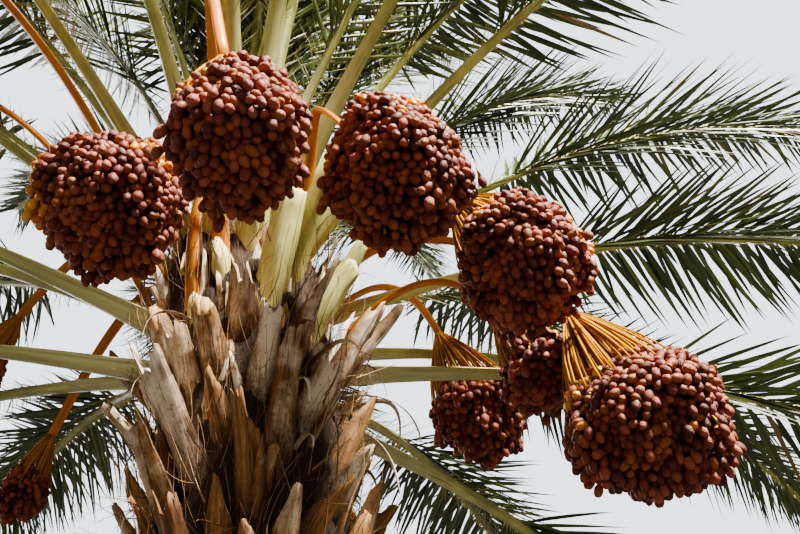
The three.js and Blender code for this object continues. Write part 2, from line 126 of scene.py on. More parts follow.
BUNCHES = (
    {"leaf": 53, "azimuth": -124, "reach": 0.524, "height": 3.404, "width": 0.424, "arch": 1.1},
    {"leaf": 45, "azimuth": -85, "reach": 0.804, "height": 3.285, "width": 0.376,
     "tilt": 14, "toward": 150, "arch": 1.4},
    {"leaf": 42, "azimuth": -49.5, "reach": 0.682, "height": 3.433, "width": 0.424, "arch": 1.2},
    {"leaf": 47, "azimuth": -19.4, "reach": 0.817, "height": 3.334, "width": 0.396, "bare": 0.70},
    {"leaf": 44, "azimuth": 36, "reach": 0.866, "height": 3.336, "width": 0.358},
    {"leaf": 52, "azimuth": 6.1, "reach": 0.849, "height": 3.220, "width": 0.286},
    {"leaf": 39, "azimuth": -10.2, "reach": 1.029, "height": 2.899, "width": 0.436,
     "neck": 1.92, "tilt": 24, "toward": 145},
    {"leaf": 38, "azimuth": 137.6, "reach": 1.116, "height": 3.175, "width": 0.190},
    {"leaf": 30, "azimuth": 158.3, "reach": 0.953, "height": 3.388, "width": 0.200},
    {"leaf": 49, "azimuth": 79, "reach": 0.900, "height": 2.960, "width": 0.370},
    {"leaf": 54, "azimuth": 111, "reach": 0.880, "height": 2.910, "width": 0.360},
    {"leaf": 51, "azimuth": 206, "reach": 1.300, "height": 3.450, "width": 0.360},
    {"leaf": 48, "azimuth": 222, "reach": 1.600, "height": 3.750, "width": 0.360, "arch": 0.35},
)

# Sides of each bunch that ripen last: azimuth, rise and how near to that side the late dates begin

UNRIPE_SIDES = (
    ((182, 8, 0.84), (-40, 27, 0.925)), ((-152, 34, 0.93),), ((-88, 52, 0.935), (-30, 34, 0.965)),
    ((-18, 22, 0.905), (-140, 40, 0.95)), ((-60, 40, 0.97),), ((-30, 50, 0.97),), ((180, 20, 0.98),),
    ((180, 60, 0.90),), ((180, 40, 0.90),), ((80, 50, 0.93),), ((110, 50, 0.93),),
    ((206, 45, 0.93),), ((222, 45, 0.93),),
)

# The form that all bunches share: an egg, longer where the bunch is small, under a fan of strands

BUNCH_TILT = 34
BUNCH_TALL = 1.04
SMALL_WIDTH = 0.25
SMALL_TALL = 1.35
NECK_REACH = 1.5
NECK_RADIUS = 0.026
FAN_WIDTH = 0.62
FAR_OFF = 9

# Stalks: how wide and deep they are from foot to neck, how they start and how they arch

STALK_WIDTH = ((0, 0.048), (0.5, 0.036), (1, 0.030))
STALK_DEPTH = ((0, 0.022), (0.5, 0.018), (1, 0.016))
STALK_RISE = 58
STALK_ARCH = 0.5
NECK_ARCH = 1.2
ARCHED_RISE = 72
AXIL_RISE = 0.062

# How far ribs, stalks and boots start inside the trunk

ROOTED = 0.03


# Helpers

def cosine(degrees):
    return np.cos(np.radians(degrees))


def sine(degrees):
    return np.sin(np.radians(degrees))


def chance(a, b):
    """A repeatable number from 0 to 1 for piece a and use b."""
    v = math.sin(a * 12.9898 + b * 78.233) * 43758.5453
    return v - math.floor(v)


def stray(a, b, span):
    """A repeatable number around zero, span wide, for piece a and use b."""
    return span * (chance(a, b) - 0.5)


def pick(draw, limits):
    """Which of the rising limits a draw falls below: 0 for the first one, and so on."""
    return sum(draw >= limit for limit in limits)


def smooth_step(low, high, value):
    """Goes from 0 below low to 1 above high, without a kink."""
    t = min(1, max(0, (value - low) / (high - low)))
    return t * t * (3 - 2 * t)


def along(table, place):
    """A value read off a short table of (place, value) pairs."""
    places, values = zip(*table)
    return np.interp(place, places, values)


def unit(v):
    return v / np.linalg.norm(v, axis=-1, keepdims=True)


def trunk_axis(z):
    """The trunk's middle in X at height z; it stays at 0 in Y."""
    return -TRUNK_LEAN * (np.maximum(z, 0) / TRUNK_HEIGHT) ** LEAN_POWER


def trunk_radius(z):
    taper = FOOT_RADIUS + (TOP_RADIUS - FOOT_RADIUS) * z / TRUNK_HEIGHT
    flare = FLARE * np.exp(-z / FLARE_HEIGHT)
    dome = np.maximum(0, (z - SHOULDER_HEIGHT) / (TRUNK_HEIGHT + DOME_RISE - SHOULDER_HEIGHT))
    return (taper + flare) * np.sqrt(1 - dome * dome)


def directions(azimuth, rise, roll=0):
    """Ahead, side and up of a limb that rises by the angle rise towards azimuth."""
    azimuth, rise, roll = np.broadcast_arrays(azimuth, rise, roll)
    ahead = np.stack([cosine(rise) * cosine(azimuth), cosine(rise) * sine(azimuth), sine(rise)], -1)
    side = np.stack([-sine(azimuth), cosine(azimuth), np.zeros_like(ahead[..., 0])], -1)
    up = np.cross(ahead, side)
    side = side * cosine(roll)[..., None] + up * sine(roll)[..., None]
    return ahead, side, np.cross(ahead, side)


def on_trunk(height, azimuth, radius=None):
    """A point at a height and azimuth: on the trunk's skin, or at a radius from the trunk's axis."""
    radius = trunk_radius(height) if radius is None else radius
    return np.array([trunk_axis(height) + radius * cosine(azimuth), radius * sine(azimuth), height])


def azimuth_gap(a, b):
    """The angle between two azimuths, at most half a turn."""
    return abs((a - b + 180) % 360 - 180)


# The spiral of leaves

def leaf_at(i):
    """Leaf number i of the crown's spiral, counted from the bud."""
    age = i / (LEAF_COUNT - 1)
    if i < HEART_LEAVES:
        height = TRUNK_HEIGHT + HEART_LIFT
        radius = HEART_RADIUS * math.sqrt((i + 0.5) / HEART_LEAVES)
    else:
        fall = (TRUNK_HEIGHT - CROWN_FOOT) * (i - HEART_LEAVES + 1) / (LEAF_COUNT - HEART_LEAVES)
        height = TRUNK_HEIGHT - fall
        radius = trunk_radius(height)
    return {
        "number": i,
        "age": age,
        "height": height,
        "radius": radius,
        "azimuth": FIRST_TURN - i * GOLDEN_ANGLE,
        "rise": BUD_RISE - RISE_FALL * age ** RISE_POWER + stray(i, 1, 6),
        "bend": BEND_YOUNG + BEND_GAIN * age + stray(i, 2, 10),
        "length": FROND_LENGTH * min(1, 0.6 + 2.4 * age) * (0.94 + 0.12 * chance(i, 3)),
        "sway": stray(i, 4, 8),
        "twist": stray(i, 5, 90),
    }


def rib_path(leaf, places):
    """Points and directions along a rib at places from 0 at the trunk to 1 at the tip."""
    def way_at(place, roll=0):
        azimuth = leaf["azimuth"] + leaf["sway"] * place
        return directions(azimuth, leaf["rise"] - leaf["bend"] * place ** BEND_POWER, roll)

    places = np.asarray(places, dtype=float)
    ahead = way_at((np.arange(RIB_STEPS) + 0.5) / RIB_STEPS)[0]
    start = on_trunk(leaf["height"], leaf["azimuth"], leaf["radius"])
    line = np.vstack([[start], start + np.cumsum(ahead, 0) * leaf["length"] / RIB_STEPS])
    stops = np.linspace(0, 1, RIB_STEPS + 1)
    points = np.stack([np.interp(places, stops, line[:, k]) for k in range(3)], -1)
    spot = np.clip(places, 0, 1)
    way = way_at(spot, leaf["twist"] * spot ** TWIST_POWER)
    points += way[0] * np.minimum(places, 0)[:, None] * leaf["length"]
    return points, way


def is_picked(leaf):
    """Whether a leaf was cut to a stub to make room for the fruit."""
    return leaf["age"] > PICKED_FROM and azimuth_gap(leaf["azimuth"], PICKING_SIDE) < PICKING_SPREAD


# Bunches and stalks

def curve_point(controls, t):
    """Points at t from 0 to 1 on the curve that four control points give."""
    t = np.asarray(t, dtype=float)[:, None]
    a, b, c, d = controls
    return a * (1 - t) ** 3 + 3 * b * t * (1 - t) ** 2 + 3 * c * t * t * (1 - t) + d * t ** 3


def curve_way(controls, t):
    """Directions of that curve at t."""
    t = np.asarray(t, dtype=float)[:, None]
    a, b, c, d = controls
    return unit(3 * (b - a) * (1 - t) ** 2 + 6 * (c - b) * t * (1 - t) + 3 * (d - c) * t * t)


def bunch_at(spec):
    """A bunch worked out from its row: its egg of fruit, its neck and the curve of its stalk."""
    middle = on_trunk(spec["height"], spec["azimuth"], spec["reach"])
    radius = spec["width"] / 2
    tall = radius * (SMALL_TALL if spec["width"] < SMALL_WIDTH else BUNCH_TALL)
    axis = directions(spec.get("toward", spec["azimuth"] + 180), 90 - spec.get("tilt", BUNCH_TILT))[0]
    neck_reach = spec.get("neck", NECK_REACH)
    neck = middle + axis * tall * neck_reach
    leaf = leaf_at(spec["leaf"])
    foot = on_trunk(leaf["height"] + AXIL_RISE, leaf["azimuth"])
    span = np.linalg.norm(neck - foot)
    arch = spec.get("arch", STALK_ARCH) * span
    start = directions(leaf["azimuth"], ARCHED_RISE if "arch" in spec else STALK_RISE)[0]
    side = unit(np.cross([0.0, 0.0, 1.0], axis))
    return {
        **spec,
        "radius": radius,
        "tall": tall,
        "middle": middle,
        "axis": axis,
        "side": side,
        "up": np.cross(axis, side),
        "neck": neck,
        "neck_reach": neck_reach,
        "controls": (foot, foot + start * arch, neck + axis * NECK_ARCH * arch, neck),
    }


def bunch_distance(bunch, points):
    """How far points lie outside a bunch's egg of fruit and the strands at its neck."""
    out = points - bunch["middle"]
    level = out @ bunch["axis"]
    flat = np.sqrt(np.maximum(0, (out * out).sum(-1) - level * level))
    egg = (np.hypot(flat / bunch["radius"], level / bunch["tall"]) - 1) * bunch["radius"]
    reach = bunch["tall"] * bunch["neck_reach"]
    fan = FAN_WIDTH * bunch["radius"] * (1 - level / reach)
    cone = np.where((level > 0) & (level < reach), flat - fan - NECK_RADIUS, FAR_OFF)
    return np.minimum(egg, cone)


def near_fruit(bunches, points, room):
    """Whether any of the points comes nearer than room to one of the bunches."""
    return any((bunch_distance(bunch, points) < room).any() for bunch in bunches)


def distances(points, others):
    """How far each point is from each of the others."""
    return np.sqrt(((points[:, None] - others[None]) ** 2).sum(-1))


def rib_clear(leaf, bunches, stalks, ribs):
    """Whether a leaf's rib keeps clear of the fruit, the stalks and the ribs placed before it."""
    points = rib_path(leaf, RIB_PLACES)[0]
    half = along(RIB_WIDTH, RIB_PLACES) / 2
    if near_fruit(bunches, points, half + BUNCH_GAP):
        return False
    late = RIB_PLACES > PAST_STALKS
    if (distances(points[late], stalks).min(1) < half[late] + STALK_GAP).any():
        return False
    late = RIB_PLACES > PAST_RIBS
    room = half[late][:, None] + half[None] + RIB_GAP
    return not any((distances(points[late], rib) < room).any() for rib in ribs)


def place_fronds(bunches):
    """Each rib swings aside until it clears bunches, stalks and earlier ribs."""
    stalks = np.vstack([curve_point(bunch["controls"], np.linspace(0, 1, 25)) for bunch in bunches])
    ribs = []
    fronds = []
    for i in range(HEART_LEAVES, LEAF_COUNT):
        leaf = leaf_at(i)
        if is_picked(leaf):
            continue
        home = leaf["azimuth"]
        for k in range(SWING_TRIES):
            leaf["azimuth"] = home + SWING_STEP * math.ceil(k / 2) * (1 if k % 2 else -1)
            if rib_clear(leaf, bunches, stalks, ribs):
                break
        else:
            leaf["azimuth"] = home
        fronds.append(leaf)
        ribs.append(rib_path(leaf, RIB_PLACES)[0])
    return fronds


BUNCH_PLAN = [bunch_at(spec) for spec in BUNCHES]
FROND_PLAN = place_fronds(BUNCH_PLAN)
HEART_PLAN = [leaf_at(i) for i in range(HEART_LEAVES)]


# Shader node groups that several materials share

def new_group(name, inputs, outputs):
    """A shader group with its sockets, its input node and its output node."""
    group = bpy.data.node_groups.new(name, "ShaderNodeTree")
    for label, kind, value in inputs:
        socket = group.interface.new_socket(label, in_out="INPUT", socket_type=kind)
        if value is not None:
            socket.default_value = value
    for label, kind in outputs:
        group.interface.new_socket(label, in_out="OUTPUT", socket_type=kind)
    return group, group.nodes.new("NodeGroupInput"), group.nodes.new("NodeGroupOutput")


# Each helper below adds a node, or a few, to a tree and returns the output that counts.

def math_node(tree, operation, first, second=None, third=None):
    node = tree.nodes.new("ShaderNodeMath")
    node.operation = operation
    for slot, value in enumerate((first, second, third)):
        if value is None:
            continue
        if isinstance(value, (int, float)):
            node.inputs[slot].default_value = value
        else:
            tree.links.new(value, node.inputs[slot])
    return node.outputs[0]


def remap(tree, value, low, high, to_low=0.0, to_high=1.0):
    node = tree.nodes.new("ShaderNodeMapRange")
    tree.links.new(value, node.inputs["Value"])
    for label, number in (("From Min", low), ("From Max", high), ("To Min", to_low), ("To Max", to_high)):
        node.inputs[label].default_value = number
    return node.outputs[0]


def noise(tree, vector, scale, detail=3.0, rough=0.55):
    node = tree.nodes.new("ShaderNodeTexNoise")
    tree.links.new(vector, node.inputs["Vector"])
    node.inputs["Scale"].default_value = scale
    node.inputs["Detail"].default_value = detail
    node.inputs["Roughness"].default_value = rough
    return node.outputs["Fac"]


def blend(tree, factor, a, b):
    node = tree.nodes.new("ShaderNodeMix")
    node.data_type = "RGBA"
    tree.links.new(factor, node.inputs["Factor"])
    # Of this node's sockets, 6, 7 and output 2 are those that carry colours.
    for socket, value in ((node.inputs[6], a), (node.inputs[7], b)):
        if isinstance(value, tuple):
            socket.default_value = (*value, 1)
        else:
            tree.links.new(value, socket)
    return node.outputs[2]


def make_fibre_group():
    """Long streaks along a piece: fine fibres and broad streaks, and cracks where it is 0."""
    inputs = (
        ("Vector", "NodeSocketVector", None), ("Across", "NodeSocketFloat", 90.0),
        ("Length", "NodeSocketFloat", 4.0),
    )
    outputs = tuple((label, "NodeSocketFloat") for label in ("Streak", "Crack", "Height"))
    group, start, end = new_group("Fibre streaks", inputs, outputs)
    stretch = group.nodes.new("ShaderNodeCombineXYZ")
    group.links.new(start.outputs["Across"], stretch.inputs[0])
    group.links.new(start.outputs["Length"], stretch.inputs[1])
    scaled = group.nodes.new("ShaderNodeVectorMath")
    scaled.operation = "MULTIPLY"
    group.links.new(start.outputs["Vector"], scaled.inputs[0])
    group.links.new(stretch.outputs[0], scaled.inputs[1])
    fine = noise(group, scaled.outputs[0], 2.4, 4.0, 0.6)
    broad = noise(group, scaled.outputs[0], 0.55, 2.0, 0.5)
    crack = remap(group, noise(group, scaled.outputs[0], 1.3, 2.0, 0.7), 0.34, 0.40)
    streak = math_node(group, "MULTIPLY_ADD", fine, 0.5, math_node(group, "MULTIPLY", broad, 0.5))
    group.links.new(streak, end.inputs["Streak"])
    group.links.new(crack, end.inputs["Crack"])
    group.links.new(math_node(group, "MULTIPLY", streak, crack), end.inputs["Height"])
    return group


def make_dust_group():
    """Patches of dust or bloom, in cloudy spots."""
    inputs = (
        ("Vector", "NodeSocketVector", None), ("Scale", "NodeSocketFloat", 30.0),
        ("Amount", "NodeSocketFloat", 0.5),
    )
    outputs = (("Mask", "NodeSocketFloat"), ("Grain", "NodeSocketFloat"))
    group, start, end = new_group("Dusty bloom", inputs, outputs)
    scaled = group.nodes.new("ShaderNodeVectorMath")
    scaled.operation = "SCALE"
    group.links.new(start.outputs["Vector"], scaled.inputs[0])
    group.links.new(start.outputs["Scale"], scaled.inputs["Scale"])
    cloud = remap(group, noise(group, scaled.outputs[0], 1.0, 3.0, 0.6), 0.35, 0.68)
    group.links.new(math_node(group, "MULTIPLY", cloud, start.outputs["Amount"]), end.inputs["Mask"])
    group.links.new(noise(group, scaled.outputs[0], 7.0, 2.0, 0.6), end.inputs["Grain"])
    return group


FIBRES = make_fibre_group()
DUST = make_dust_group()


def new_material(name, color, rough, **sockets):
    """A Principled material with plain values on its own sockets."""
    material = bpy.data.materials.new(name)
    material.use_nodes = True
    tree = material.node_tree
    shader = tree.nodes["Principled BSDF"]
    shader.inputs["Base Color"].default_value = (*color, 1)
    shader.inputs["Roughness"].default_value = rough
    for label, value in sockets.items():
        shader.inputs[label.replace("_", " ").title().replace("Ior", "IOR")].default_value = value
    material.diffuse_color = (*color, 1)
    return material, tree, shader


def place_on(tree, label="Object"):
    return tree.nodes.new("ShaderNodeTexCoord").outputs[label]


def use_group(tree, group, vector, **values):
    node = tree.nodes.new("ShaderNodeGroup")
    node.node_tree = group
    tree.links.new(vector, node.inputs["Vector"])
    for label, value in values.items():
        node.inputs[label].default_value = value
    return node.outputs


def bump(tree, shader, height, strength, distance):
    node = tree.nodes.new("ShaderNodeBump")
    node.inputs["Strength"].default_value = strength
    node.inputs["Distance"].default_value = distance
    tree.links.new(height, node.inputs["Height"])
    tree.links.new(node.outputs[0], shader.inputs["Normal"])


def weather_of(tree):
    """The three values that each point of a mesh carries in its "weather", as outputs."""
    note = tree.nodes.new("ShaderNodeAttribute")
    note.attribute_name = "weather"
    parts = tree.nodes.new("ShaderNodeSeparateXYZ")
    tree.links.new(note.outputs["Vector"], parts.inputs[0])
    return parts.outputs


def shaded(color, share):
    """A colour at a share of its strength."""
    return tuple(share * c for c in color)


def streaked(name, dark, pale, rough, crack_color, across, length, relief, foot=None, **sockets):
    """Wood, rib or stalk: streaks and cracks along the piece's own map, and a foot of another colour."""
    material, tree, shader = new_material(name, pale, rough, **sockets)
    marks = use_group(tree, FIBRES, place_on(tree, "UV"), Across=across, Length=length)
    color = blend(tree, remap(tree, marks["Streak"], 0.36, 0.64), dark, pale)
    dust = use_group(tree, DUST, place_on(tree), Scale=9.0, Amount=0.55)
    color = blend(tree, dust["Mask"], color, tuple(min(1, 1.25 * p + 0.012) for p in pale))
    if foot:
        height = weather_of(tree)[0]
        pale_foot = blend(tree, remap(tree, marks["Streak"], 0.38, 0.62), shaded(foot, 0.62), foot)
        color = blend(tree, remap(tree, height, 0.02, 0.24), pale_foot, color)
    tree.links.new(blend(tree, marks["Crack"], crack_color, color), shader.inputs["Base Color"])
    gloss = remap(tree, marks["Streak"], 0.3, 0.7, rough + 0.12, rough - 0.08)
    tree.links.new(gloss, shader.inputs["Roughness"])
    bump(tree, shader, marks["Height"], 0.7, relief)
    return material


def plain_skin(name, color, rough, scale=60.0, relief=0.0015, **sockets):
    """A plain colour with spotty gloss and a fine relief, for leaflets, dates and strands."""
    material, tree, shader = new_material(name, color, rough, **sockets)
    marks = use_group(tree, DUST, place_on(tree), Scale=scale, Amount=1.0)
    gloss = remap(tree, marks["Mask"], 0.0, 1.0, rough - 0.1, rough + 0.16)
    tree.links.new(gloss, shader.inputs["Roughness"])
    bump(tree, shader, marks["Grain"], 0.5, relief)
    return material


# Mesh code

def mesh_object(name, points, faces, materials=(), face_materials=None, uvs=None, smooth=True):
    """A new object from points and faces; uvs give each point a place on the map."""
    mesh = bpy.data.meshes.new(name)
    mesh.from_pydata([tuple(p) for p in points], [], [tuple(int(v) for v in f) for f in faces])
    for material in materials:
        mesh.materials.append(material)
    if face_materials is not None:
        mesh.polygons.foreach_set("material_index", np.asarray(face_materials, dtype=np.int32))
    mesh.polygons.foreach_set("use_smooth", np.full(len(mesh.polygons), smooth))
    if uvs is not None:
        layer = mesh.uv_layers.new(name="along")
        corner_points = np.empty(len(mesh.loops), dtype=np.int32)
        mesh.loops.foreach_get("vertex_index", corner_points)
        layer.data.foreach_set("uv", np.asarray(uvs, dtype=np.float32)[corner_points].ravel())
    mesh.update()
    piece = bpy.data.objects.new(name, mesh)
    bpy.context.collection.objects.link(piece)
    return piece


class Mass:
    """Collects many loose shapes into the one mesh of a piece."""

    def __init__(self):
        self.points, self.faces, self.kinds, self.uvs, self.weather = [], [], [], [], []
        self.count = 0

    def add(self, points, faces, uvs, kinds=0, weather=None):
        """Takes in one shape; kinds is the material slot of all its faces, or a list with one for each."""
        self.points.append(np.asarray(points, dtype=float))
        if weather is not None:
            self.weather.append(weather)
        self.uvs.append(np.asarray(uvs, dtype=float))
        self.faces.extend([tuple(v + self.count for v in face) for face in faces])
        self.kinds.extend([kinds] * len(faces) if isinstance(kinds, int) else kinds)
        self.count += len(points)

    def build(self, name, materials):
        points, uvs = np.vstack(self.points), np.vstack(self.uvs)
        piece = mesh_object(name, points, self.faces, materials, self.kinds, uvs)
        if self.weather:
            layer = piece.data.attributes.new("weather", "FLOAT_VECTOR", "POINT")
            layer.data.foreach_set("vector", np.vstack(self.weather).astype(np.float32).ravel())
        return piece


def ring_faces(rows, turn):
    """Faces of a closed tube with that many rows of points, turn of them in each, both ends shut."""
    faces = []
    for k in range(rows - 1):
        for j in range(turn):
            a, b = k * turn + j, k * turn + (j + 1) % turn
            faces.append((a, b, b + turn, a + turn))
    faces.append(tuple(range(turn - 1, -1, -1)))
    faces.append(tuple(range((rows - 1) * turn, rows * turn)))
    return faces


# How far it is round a tube, by its mean width

GIRTH = 2.4


def tube(centres, sides, ups, outline, widths, depths, offset):
    """A closed tube with the given outline round a line of centres; returns points, faces, uvs."""
    rows, turn = len(centres), len(outline)
    points = (centres[:, None] + sides[:, None] * (outline[None, :, :1] * widths[:, None, None] / 2)
              + ups[:, None] * (outline[None, :, 1:] * depths[:, None, None] / 2)).reshape(-1, 3)
    run = np.concatenate([[0], np.cumsum(np.linalg.norm(np.diff(centres, axis=0), axis=1))])
    around = np.arange(turn) / turn * widths.mean() * GIRTH
    uvs = np.stack([np.tile(around, rows) + offset, np.repeat(run, turn) + offset * 3], -1)
    return points, ring_faces(rows, turn), uvs


def settle(piece, slot, *nodes):
    """Puts a finished piece on the tree's body, in place of the plain solids that it stands for."""
    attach(piece, "root")
    if nodes:
        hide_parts(*nodes)


# Geometry Nodes that set many small shapes on marked points

def scatter_tree(name, shape_count, material_count):
    """A node tree that sets shapes on points, as the points' own attributes say."""
    tree = bpy.data.node_groups.new(name, "GeometryNodeTree")
    face = tree.interface
    face.new_socket("Points", in_out="INPUT", socket_type="NodeSocketGeometry")
    for k in range(shape_count):
        face.new_socket(f"Shape {k + 1}", in_out="INPUT", socket_type="NodeSocketObject")
    for label, kind, value in (
        ("Length", "NodeSocketFloat", 1.0), ("Width", "NodeSocketFloat", 1.0),
        ("Turn", "NodeSocketFloat", 0.0), ("Seed", "NodeSocketInt", 7),
    ):
        face.new_socket(label, in_out="INPUT", socket_type=kind).default_value = value
    for k in range(material_count):
        face.new_socket(f"Finish {k + 1}", in_out="INPUT", socket_type="NodeSocketMaterial")
    face.new_socket("Pieces", in_out="OUTPUT", socket_type="NodeSocketGeometry")
    nodes, links = tree.nodes, tree.links
    start, end = nodes.new("NodeGroupInput"), nodes.new("NodeGroupOutput")

    def attribute(label, kind):
        node = nodes.new("GeometryNodeInputNamedAttribute")
        node.data_type = kind
        node.inputs["Name"].default_value = label
        return node.outputs["Attribute"]

    # The shapes to choose from
    join = nodes.new("GeometryNodeJoinGeometry")
    for k in reversed(range(shape_count)):
        info = nodes.new("GeometryNodeObjectInfo")
        links.new(start.outputs[f"Shape {k + 1}"], info.inputs["Object"])
        single = nodes.new("GeometryNodeGeometryToInstance")
        links.new(info.outputs["Geometry"], single.inputs[0])
        links.new(single.outputs[0], join.inputs[0])
    # How each one points and faces, and how far it is turned about its length
    turn = nodes.new("FunctionNodeAxesToRotation")
    turn.primary_axis = "Y"
    turn.secondary_axis = "Z"
    links.new(attribute("ahead", "FLOAT_VECTOR"), turn.inputs[0])
    links.new(attribute("face", "FLOAT_VECTOR"), turn.inputs[1])
    spin = nodes.new("FunctionNodeRandomValue")
    spin.data_type = "FLOAT"
    low = math_node(tree, "MULTIPLY", start.outputs["Turn"], -1.0)
    floats = [socket for socket in spin.inputs if socket.type == "VALUE"]
    links.new(low, floats[0])
    links.new(start.outputs["Turn"], floats[1])
    links.new(start.outputs["Seed"], spin.inputs["Seed"])
    about = nodes.new("FunctionNodeAxisAngleToRotation")
    about.inputs["Axis"].default_value = (0, 1, 0)
    links.new([socket for socket in spin.outputs if socket.type == "VALUE"][0], about.inputs["Angle"])
    turned = nodes.new("FunctionNodeRotateRotation")
    turned.rotation_space = "LOCAL"
    links.new(turn.outputs[0], turned.inputs[0])
    links.new(about.outputs[0], turned.inputs[1])
    # How large each one is
    size = nodes.new("ShaderNodeCombineXYZ")
    links.new(start.outputs["Width"], size.inputs[0])
    links.new(start.outputs["Length"], size.inputs[1])
    links.new(start.outputs["Width"], size.inputs[2])
    scaled = nodes.new("ShaderNodeVectorMath")
    scaled.operation = "MULTIPLY"
    links.new(attribute("size", "FLOAT_VECTOR"), scaled.inputs[0])
    links.new(size.outputs[0], scaled.inputs[1])
    # They are set out and made real, and each takes its material
    place = nodes.new("GeometryNodeInstanceOnPoints")
    links.new(start.outputs["Points"], place.inputs["Points"])
    links.new(join.outputs[0], place.inputs["Instance"])
    place.inputs["Pick Instance"].default_value = True
    links.new(attribute("kind", "INT"), place.inputs["Instance Index"])
    links.new(turned.outputs[0], place.inputs["Rotation"])
    links.new(scaled.outputs[0], place.inputs["Scale"])
    real = nodes.new("GeometryNodeRealizeInstances")
    links.new(place.outputs[0], real.inputs[0])
    flow = real.outputs[0]
    shade = attribute("shade", "INT")
    for k in range(material_count):
        match = nodes.new("FunctionNodeCompare")
        match.data_type = "INT"
        match.operation = "EQUAL"
        whole = [socket for socket in match.inputs if socket.type == "INT"]
        links.new(shade, whole[0])
        whole[1].default_value = k
        paint = nodes.new("GeometryNodeSetMaterial")
        links.new(flow, paint.inputs["Geometry"])
        links.new(match.outputs[0], paint.inputs["Selection"])
        links.new(start.outputs[f"Finish {k + 1}"], paint.inputs["Material"])
        flow = paint.outputs[0]
    links.new(flow, end.inputs[0])
    return tree


def scatter(name, points, ahead, face, size, kind, shade, shapes, materials, turn=0.0, seed=7):
    """Sets shapes on points by a node tree, and returns the result as one plain mesh.

    Each point has the direction ahead and the face of its shape, its size, which shape it is and
    which material it has; turn is the most that a shape is turned about its length by chance.
    """
    mesh = bpy.data.meshes.new(name + "_points")
    mesh.from_pydata([tuple(p) for p in points], [], [])
    for label, kind_of, values in (
        ("ahead", "FLOAT_VECTOR", ahead), ("face", "FLOAT_VECTOR", face), ("size", "FLOAT_VECTOR", size),
        ("kind", "INT", kind), ("shade", "INT", shade),
    ):
        layer = mesh.attributes.new(label, kind_of, "POINT")
        if kind_of == "INT":
            layer.data.foreach_set("value", np.asarray(values, dtype=np.int32))
        else:
            layer.data.foreach_set("vector", np.asarray(values, dtype=np.float32).ravel())
    carrier = bpy.data.objects.new(name + "_points", mesh)
    bpy.context.collection.objects.link(carrier)
    tree = scatter_tree("Scatter " + name, len(shapes), len(materials))
    modifier = carrier.modifiers.new("Scatter", "NODES")
    modifier.node_group = tree
    keys = {item.name: item.identifier for item in tree.interface.items_tree if item.in_out == "INPUT"}
    for k, shape in enumerate(shapes):
        modifier[keys[f"Shape {k + 1}"]] = shape
    for k, material in enumerate(materials):
        modifier[keys[f"Finish {k + 1}"]] = material
    modifier[keys["Turn"]] = float(turn)
    modifier[keys["Seed"]] = seed
    bpy.context.view_layer.update()
    graph = bpy.context.evaluated_depsgraph_get()
    result = bpy.data.meshes.new_from_object(carrier.evaluated_get(graph))
    result.name = name
    if not len(result.polygons):
        raise RuntimeError(name + " came out empty")
    for label in ("ahead", "face", "size", "kind", "shade"):
        if label in result.attributes:
            result.attributes.remove(result.attributes[label])
    result.polygons.foreach_set("use_smooth", np.full(len(result.polygons), True))
    piece = bpy.data.objects.new(name, result)
    bpy.context.collection.objects.link(piece)
    bpy.data.objects.remove(carrier)
    bpy.data.node_groups.remove(tree)
    return piece


def drop(shapes):
    """Takes away shapes that were only there to be set out."""
    for shape in shapes:
        bpy.data.objects.remove(shape)


# Settings that a user would change

class PalmTrunkSettings(bpy.types.PropertyGroup):
    core_color: FloatVectorProperty(
        name="Fibre colour", description="Dark fibre between the boots", subtype="COLOR", size=3,
        min=0, max=1, default=(0.050, 0.026, 0.012))
    boot_dark: FloatVectorProperty(
        name="Boot shade", description="Darker streaks of the dry boots", subtype="COLOR", size=3,
        min=0, max=1, default=(0.105, 0.046, 0.015))
    boot_gold: FloatVectorProperty(
        name="Boot brown", description="Golden brown of the dry boots", subtype="COLOR", size=3,
        min=0, max=1, default=(0.45, 0.235, 0.080))
    # Pale enough to stand partly for painted sunlight on the upper boots, as well as their bleaching
    boot_pale: FloatVectorProperty(
        name="Boot light", description="Bleached faces of the upper boots", subtype="COLOR", size=3,
        min=0, max=1, default=(0.95, 0.82, 0.62))
    splint_count: IntProperty(
        name="Splints", description="Split pieces of old leaf bases between the boots", default=190, min=0)
    strip_count: IntProperty(
        name="Loose fibres", description="Dry fibres that stand out between the boots", default=6500, min=0)


class PalmFrondSettings(bpy.types.PropertyGroup):
    leaflets: IntProperty(
        name="Leaflets a side", description="Leaflets down each side of a full frond", default=205, min=10)
    leaflet_width: FloatProperty(
        name="Leaflet width", description="Widest part of a leaflet", subtype="DISTANCE", default=0.0165)
    rib_dark: FloatVectorProperty(
        name="Rib shade", description="Olive underside of a rib", subtype="COLOR", size=3,
        min=0, max=1, default=(0.12, 0.135, 0.022))
    rib_pale: FloatVectorProperty(
        name="Rib light", description="Pale streaks and edges of a rib", subtype="COLOR", size=3,
        min=0, max=1, default=(0.60, 0.60, 0.19))
    leaf_color: FloatVectorProperty(
        name="Leaf colour", description="Main green of the leaflets", subtype="COLOR", size=3,
        min=0, max=1, default=(0.075, 0.105, 0.027))


class PalmFruitSettings(bpy.types.PropertyGroup):
    date_length: FloatProperty(
        name="Date length", description="A ripe date from end to end", subtype="DISTANCE", default=0.0355)
    date_width: FloatProperty(
        name="Date width", description="A ripe date at its thickest", subtype="DISTANCE", default=0.0265)
    spacing: FloatProperty(
        name="Spacing", description="Mean distance between dates over a bunch", subtype="DISTANCE",
        default=0.0285)
    strands: IntProperty(
        name="Strands", description="Strands that fan out from the neck of a full bunch", default=120, min=5)
    date_color: FloatVectorProperty(
        name="Date colour", description="Main red-brown of the ripe dates", subtype="COLOR", size=3,
        min=0, max=1, default=(0.235, 0.052, 0.026))
    stalk_color: FloatVectorProperty(
        name="Stalk colour", description="Orange of the stalks", subtype="COLOR", size=3,
        min=0, max=1, default=(0.74, 0.26, 0.022))


